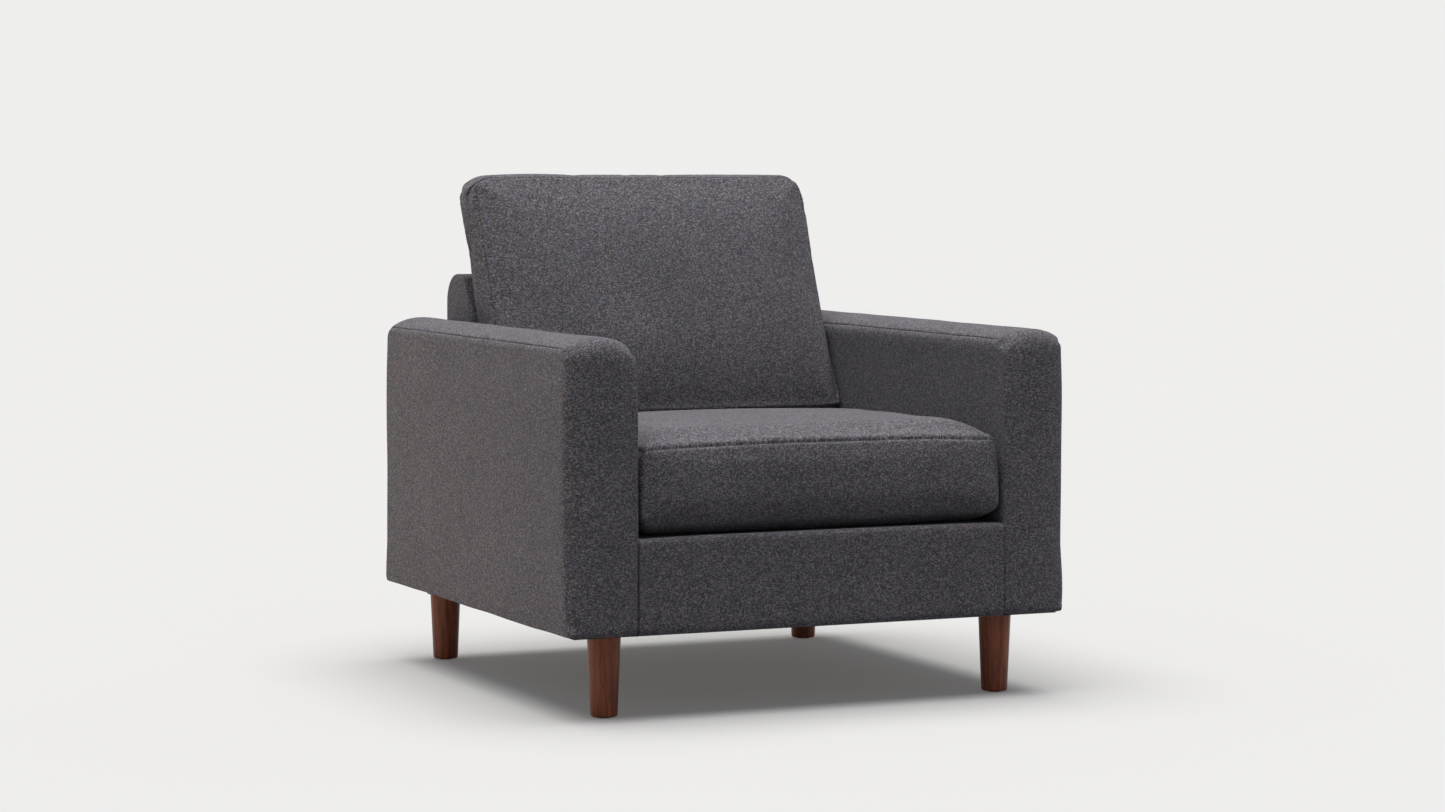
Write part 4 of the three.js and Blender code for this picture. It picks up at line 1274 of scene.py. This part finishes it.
# %% Seat cushion
LEAN_REAR = BACK_LOW.y - 0.3 * MM
LEAN_DEPTH = 101.7 * MM
LEAN_FOOT = LEAN_REAR - LEAN_DEPTH
SEAT_HALF = 303.5 * MM
SEAT_ZIP = (SEAT_LOW.z + SEAT_HIGH.z) / 2
SEAT_CROWN, SEAT_BELLY, SEAT_DIP = 23 * MM, 8 * MM, 7 * MM
seat_view = outline(
    (SEAT_LOW.y + 60 * MM, SEAT_LOW.z - 0.2 * MM, 1 * MM, True),
    (SEAT_LOW.y + 2 * MM, SEAT_LOW.z + 17 * MM, 22 * MM, False),
    (SEAT_LOW.y + 7 * MM, SEAT_LOW.z + 141 * MM, 9 * MM, True),
    (SEAT_HIGH.y, SEAT_LOW.z + 133 * MM, 34 * MM, True),
    (SEAT_HIGH.y, SEAT_LOW.z + 0.5 * MM, 22 * MM, False),
    (SEAT_HIGH.y - 34 * MM, SEAT_LOW.z - 0.2 * MM, 1 * MM, True),
)


def seat_inset(side, place, normal):
    """Round upright corners, a fuller round along the bottom, and seams on the top's shoulder."""
    edge = by_facing(normal, 11 * MM, 18 * MM, 8 * MM, 26 * MM)
    steep = 1 - 0.25 * np.maximum(normal[:, 1], 0) ** 2
    return turn(side, SEAT_HALF, np.maximum(edge, 1 * MM), steep)


def seat_shape(net):
    """The sewn block with its side panels bellied out by belly * (1 - c^2)^0.7 and its top crowned
    by crown * sqrt((1 - a^22) * (1 - b^8)), a, b and c from -1 to 1 across, along and up. The
    seams dip by dip * a^4 towards the corners."""
    points, far = block(net, seat_view, SEAT_HALF, seat_inset)
    a, b, c = (2 * net["fractions"] - 1).T
    points[:, 0] *= 1 + SEAT_BELLY * (1 - c**2) ** 0.7 / SEAT_HALF
    crown = SEAT_CROWN * np.sqrt((1 - a**22) * (1 - b**8))
    points[:, 2] += np.where(c == 1, crown, 0) - SEAT_DIP * a**4 * (1 + c) / 2
    return points, far


def seat_held(net, points):
    """The points on the deck, and those of the zip."""
    _, along, up = net["fractions"].T
    return (up == 0) | ((along == 1) & (np.abs(points[:, 2] - SEAT_ZIP) < 9 * MM))


def seat_fit(points):
    """Fits the swollen seat between deck, arms and back frame, and under the back cushion."""
    x, y, z = points.T
    x = np.sign(x) * below(np.abs(x), SEAT_HIGH.x + 4.6 * MM, 1.2 * MM)
    y = above(below(y, SEAT_HIGH.y + 5.4 * MM, 0.6 * MM), SEAT_LOW.y - 3 * MM, 1.0 * MM)
    ahead = 8 * MM * np.logaddexp(0, (LEAN_FOOT + 4 * MM - y) / (8 * MM))
    middle = (1 - (x / SEAT_HALF) ** 2) * (1 - np.exp(-ahead / (22 * MM)))
    ceiling = SEAT_HIGH.z - 0.6 * MM + 0.065 * ahead + 8 * MM * middle
    ceiling -= 3 * MM * smooth(y, 190 * MM, 212 * MM)
    return np.column_stack([x, y, above(below(z, ceiling, 1.6 * MM), SEAT_LOW.z, 0.3 * MM)])


make_cushion(
    "seat_cushion", (2 * SEAT_HALF, SEAT_HIGH.y - SEAT_LOW.y, SEAT_HIGH.z - SEAT_LOW.z),
    seat_view, seat_shape, seat_held, seat_fit, ("top", "bottom"), air=8.0, limit=6 * MM,
    slot=(2, fraction_at(seat_view, 3, 2, 1, SEAT_ZIP)), pressed=("rear", 1, 1, SEAT_HIGH.y),
)

# %% [markdown]
# # Back cushion
# The back cushion's panels face the front and rear and its band goes round the edge, so its seams
# run up both long front edges and over soft upper corners. It leans against the back frame and
# stands on the seat cushion, and is flat only where it touches those two.

# %% Back cushion
LEAN_HALF = 304 * MM
LEAN_CROWN, LEAN_BELLY = 20 * MM, 12 * MM
LEAN_ZIP = sum(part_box("back_cushion_zip"), Vector()).y / 2


def lean_corner(plane, forward, z, radius):
    """A corner of the leaning side view, at a distance from a leaning plane."""
    return plane + LEAN_SLOPE * (z - BEND) + forward, z, radius, True


lean_view = outline(
    lean_corner(LEAN_FOOT, 4 * MM, LEAN_LOW.z + 0.5 * MM, 8 * MM),
    lean_corner(LEAN_FOOT, 12 * MM, LEAN_HIGH.z - 1 * MM, 24 * MM),
    lean_corner(LEAN_REAR, -6 * MM, LEAN_HIGH.z - 1 * MM, 30 * MM),
    lean_corner(LEAN_REAR, -1 * MM, LEAN_LOW.z + 0.5 * MM, 14 * MM),
)


def lean_inset(side, place, normal):
    """Seams on the shoulders of the front and rear edges, and wide soft upper corners."""
    edge = by_facing(normal, 20 * MM, 20 * MM, 41 * MM, 16 * MM)
    return turn(side, LEAN_HALF, edge, 1 - 0.25 * normal[:, 0] ** 2)


def lean_shape(net):
    """The sewn block with its side panels bellied out by belly * (1 - b^2)^0.6 and its front
    crowned by crown * sqrt(1 - a^4) * (1 - |c|^3), a, b, c from -1 to 1 across, along and up."""
    points, far = block(net, lean_view, LEAN_HALF, lean_inset)
    a, b, c = (2 * net["fractions"] - 1).T
    points[:, 0] *= 1 + LEAN_BELLY * (1 - b**2) ** 0.6 / LEAN_HALF
    crown = LEAN_CROWN * np.sqrt(1 - a**4) * (1 - np.abs(c) ** 3)
    points[:, 1] -= np.where(b == -1, crown, 0)
    return points, far


def lean_held(net, points):
    """The points on the seat cushion, and those pressed against the back frame."""
    _, along, up = net["fractions"].T
    return (up == 0) | ((along == 1) & (points[:, 2] < BACK_HIGH.z - 60 * MM))


def lean_fit(points):
    """Fits the swollen cushion between the arms, in front of the back frame, over the seat."""
    x, y, z = points.T
    widest = 313.2 * MM + 8 * MM * smooth(z, ARM_HIGH.z - 10 * MM, ARM_HIGH.z + 50 * MM)
    x = np.sign(x) * below(np.abs(x), widest, 1.2 * MM)
    y = below(y, LEAN_REAR + LEAN_SLOPE * (z - BEND) - 0.2 * MM, 0.6 * MM)
    return np.column_stack([x, y, above(z, LEAN_LOW.z, 0.4 * MM)])


make_cushion(
    "back_cushion", (2 * LEAN_HALF, LEAN_DEPTH, LEAN_HIGH.z - LEAN_LOW.z),
    lean_view, lean_shape, lean_held, lean_fit, ("front", "rear"), air=6.0, limit=10 * MM,
    slot=(1, fraction_at(lean_view, 4, 3, 0, LEAN_ZIP)), pressed=("bottom", 2, -1, LEAN_LOW.z),
)

# %% [markdown]
# # Floor and light
# The floor runs back into a pale studio wall with no edge between them. A sun lamp with a very
# wide angle stands for one large soft source overhead: it lights tops most and fronts least,
# evenly over the whole floor. The world fills the shadows, more from behind than from the front.
# Bounced light sees a darker floor than the camera does, with a reflector beside the chair's left
# side, which lifts that side from below and leaves the insides of the arms dark.

# %% Studio
FLOOR_SEEN, FLOOR_BOUNCE, FLOOR_GLOW = 0.395, 0.18, 0.10
FLOOR_HALF = 40  # metres
REFLECTOR_BOUNCE = (0.70, 0.59, 0.47, 1)
WALL_TONE = (0.858, 0.857, 0.842, 1)
FRONT_FILL, REAR_FILL = (0.242, 0.250, 0.278, 1), (0.42, 0.42, 0.43, 1)
SUN_STRENGTH, SUN_ANGLE, SUN_TILT = 5.1, math.radians(60), math.radians(2)


def seen_directly(tree):
    """1 where the camera, gloss or glass looks at something, and 0 where light bounces off it."""
    path = node(tree, "LightPath").outputs
    either = maths(tree, "MAXIMUM", path["Is Camera Ray"], path["Is Glossy Ray"])
    return maths(tree, "MAXIMUM", either, path["Is Transmission Ray"])


def mixed(tree, share, first, second):
    return node(tree, "MixRGB", {0: share, 1: first, 2: second}).outputs[0]


def ranged(tree, value, *ends):
    """A value mapped from one range to another: low, high, low, high."""
    return node(tree, "MapRange", dict(enumerate((value, *ends)))).outputs[0]


def on_reflector(tree, space):
    """1 on the floor beside the chair's left side, fading to 0 over 15 cm at its two edges."""
    split = node(tree, "SeparateXYZ", {0: space}).outputs
    beside = ranged(tree, split[0], -0.60, -0.45, 1.0, 0.0)
    return maths(tree, "MULTIPLY", beside, ranged(tree, split[1], -0.50, -0.35, 0.0, 1.0))


def floor_material():
    """Matt pale paint, barely uneven, darker for bounced light."""
    material, tree = start_material("studio_paint", 0.95, specular=0.0)
    space = object_space(tree)
    paint = shades(tree, noise(tree, space, 0.7), FLOOR_SEEN * 0.995, FLOOR_SEEN * 1.005)
    pale = times(tree, paint, (1.0, 1.0, 0.985))
    bounce = mixed(tree, on_reflector(tree, space), (*[FLOOR_BOUNCE] * 3, 1), REFLECTOR_BOUNCE)
    seen = seen_directly(tree)
    shader = tree.nodes["Principled BSDF"].inputs
    tree.links.new(mixed(tree, seen, bounce, pale), shader["Base Color"])
    shader["Emission Color"].default_value = (1.0, 0.97, 0.94, 1)
    tree.links.new(maths(tree, "MULTIPLY", seen, FLOOR_GLOW), shader["Emission Strength"])
    return material


def make_floor():
    signs = ((-1, -1), (1, -1), (1, 1), (-1, 1))
    corners = [(x * FLOOR_HALF, y * FLOOR_HALF, 0) for x, y in signs]
    mesh = bpy.data.meshes.new("studio_floor")
    mesh.from_pydata(corners, [], [(0, 1, 2, 3)])
    mesh.materials.append(floor_material())
    add_object("studio_floor", mesh)


def add_sun():
    """A very wide sun, moved a little from overhead towards the chair's left side."""
    lamp = add_object("soft_top", bpy.data.lights.new("soft_top", "SUN"))
    lamp.data.energy, lamp.data.angle, lamp.data.color = SUN_STRENGTH, SUN_ANGLE, (1.0, 0.99, 0.99)
    lamp.rotation_euler = (0, -SUN_TILT, 0)


def make_world():
    """Fill light that grows from front to rear, and the wall's tone where it is seen directly."""
    world = bpy.data.worlds.new("studio")
    bpy.context.scene.world = world
    world.use_nodes = True
    tree = world.node_tree
    heading = node(tree, "TexCoord").outputs["Generated"]
    y = node(tree, "SeparateXYZ", {0: heading}).outputs["Y"]
    fill = mixed(tree, ranged(tree, y, -0.4, 0.9), FRONT_FILL, REAR_FILL)
    colour = mixed(tree, seen_directly(tree), fill, WALL_TONE)
    tree.links.new(colour, tree.nodes["Background"].inputs["Color"])


make_floor()
add_sun()
make_world()
print("light", SUN_STRENGTH, "from a wide sun, floor", FLOOR_SEEN)
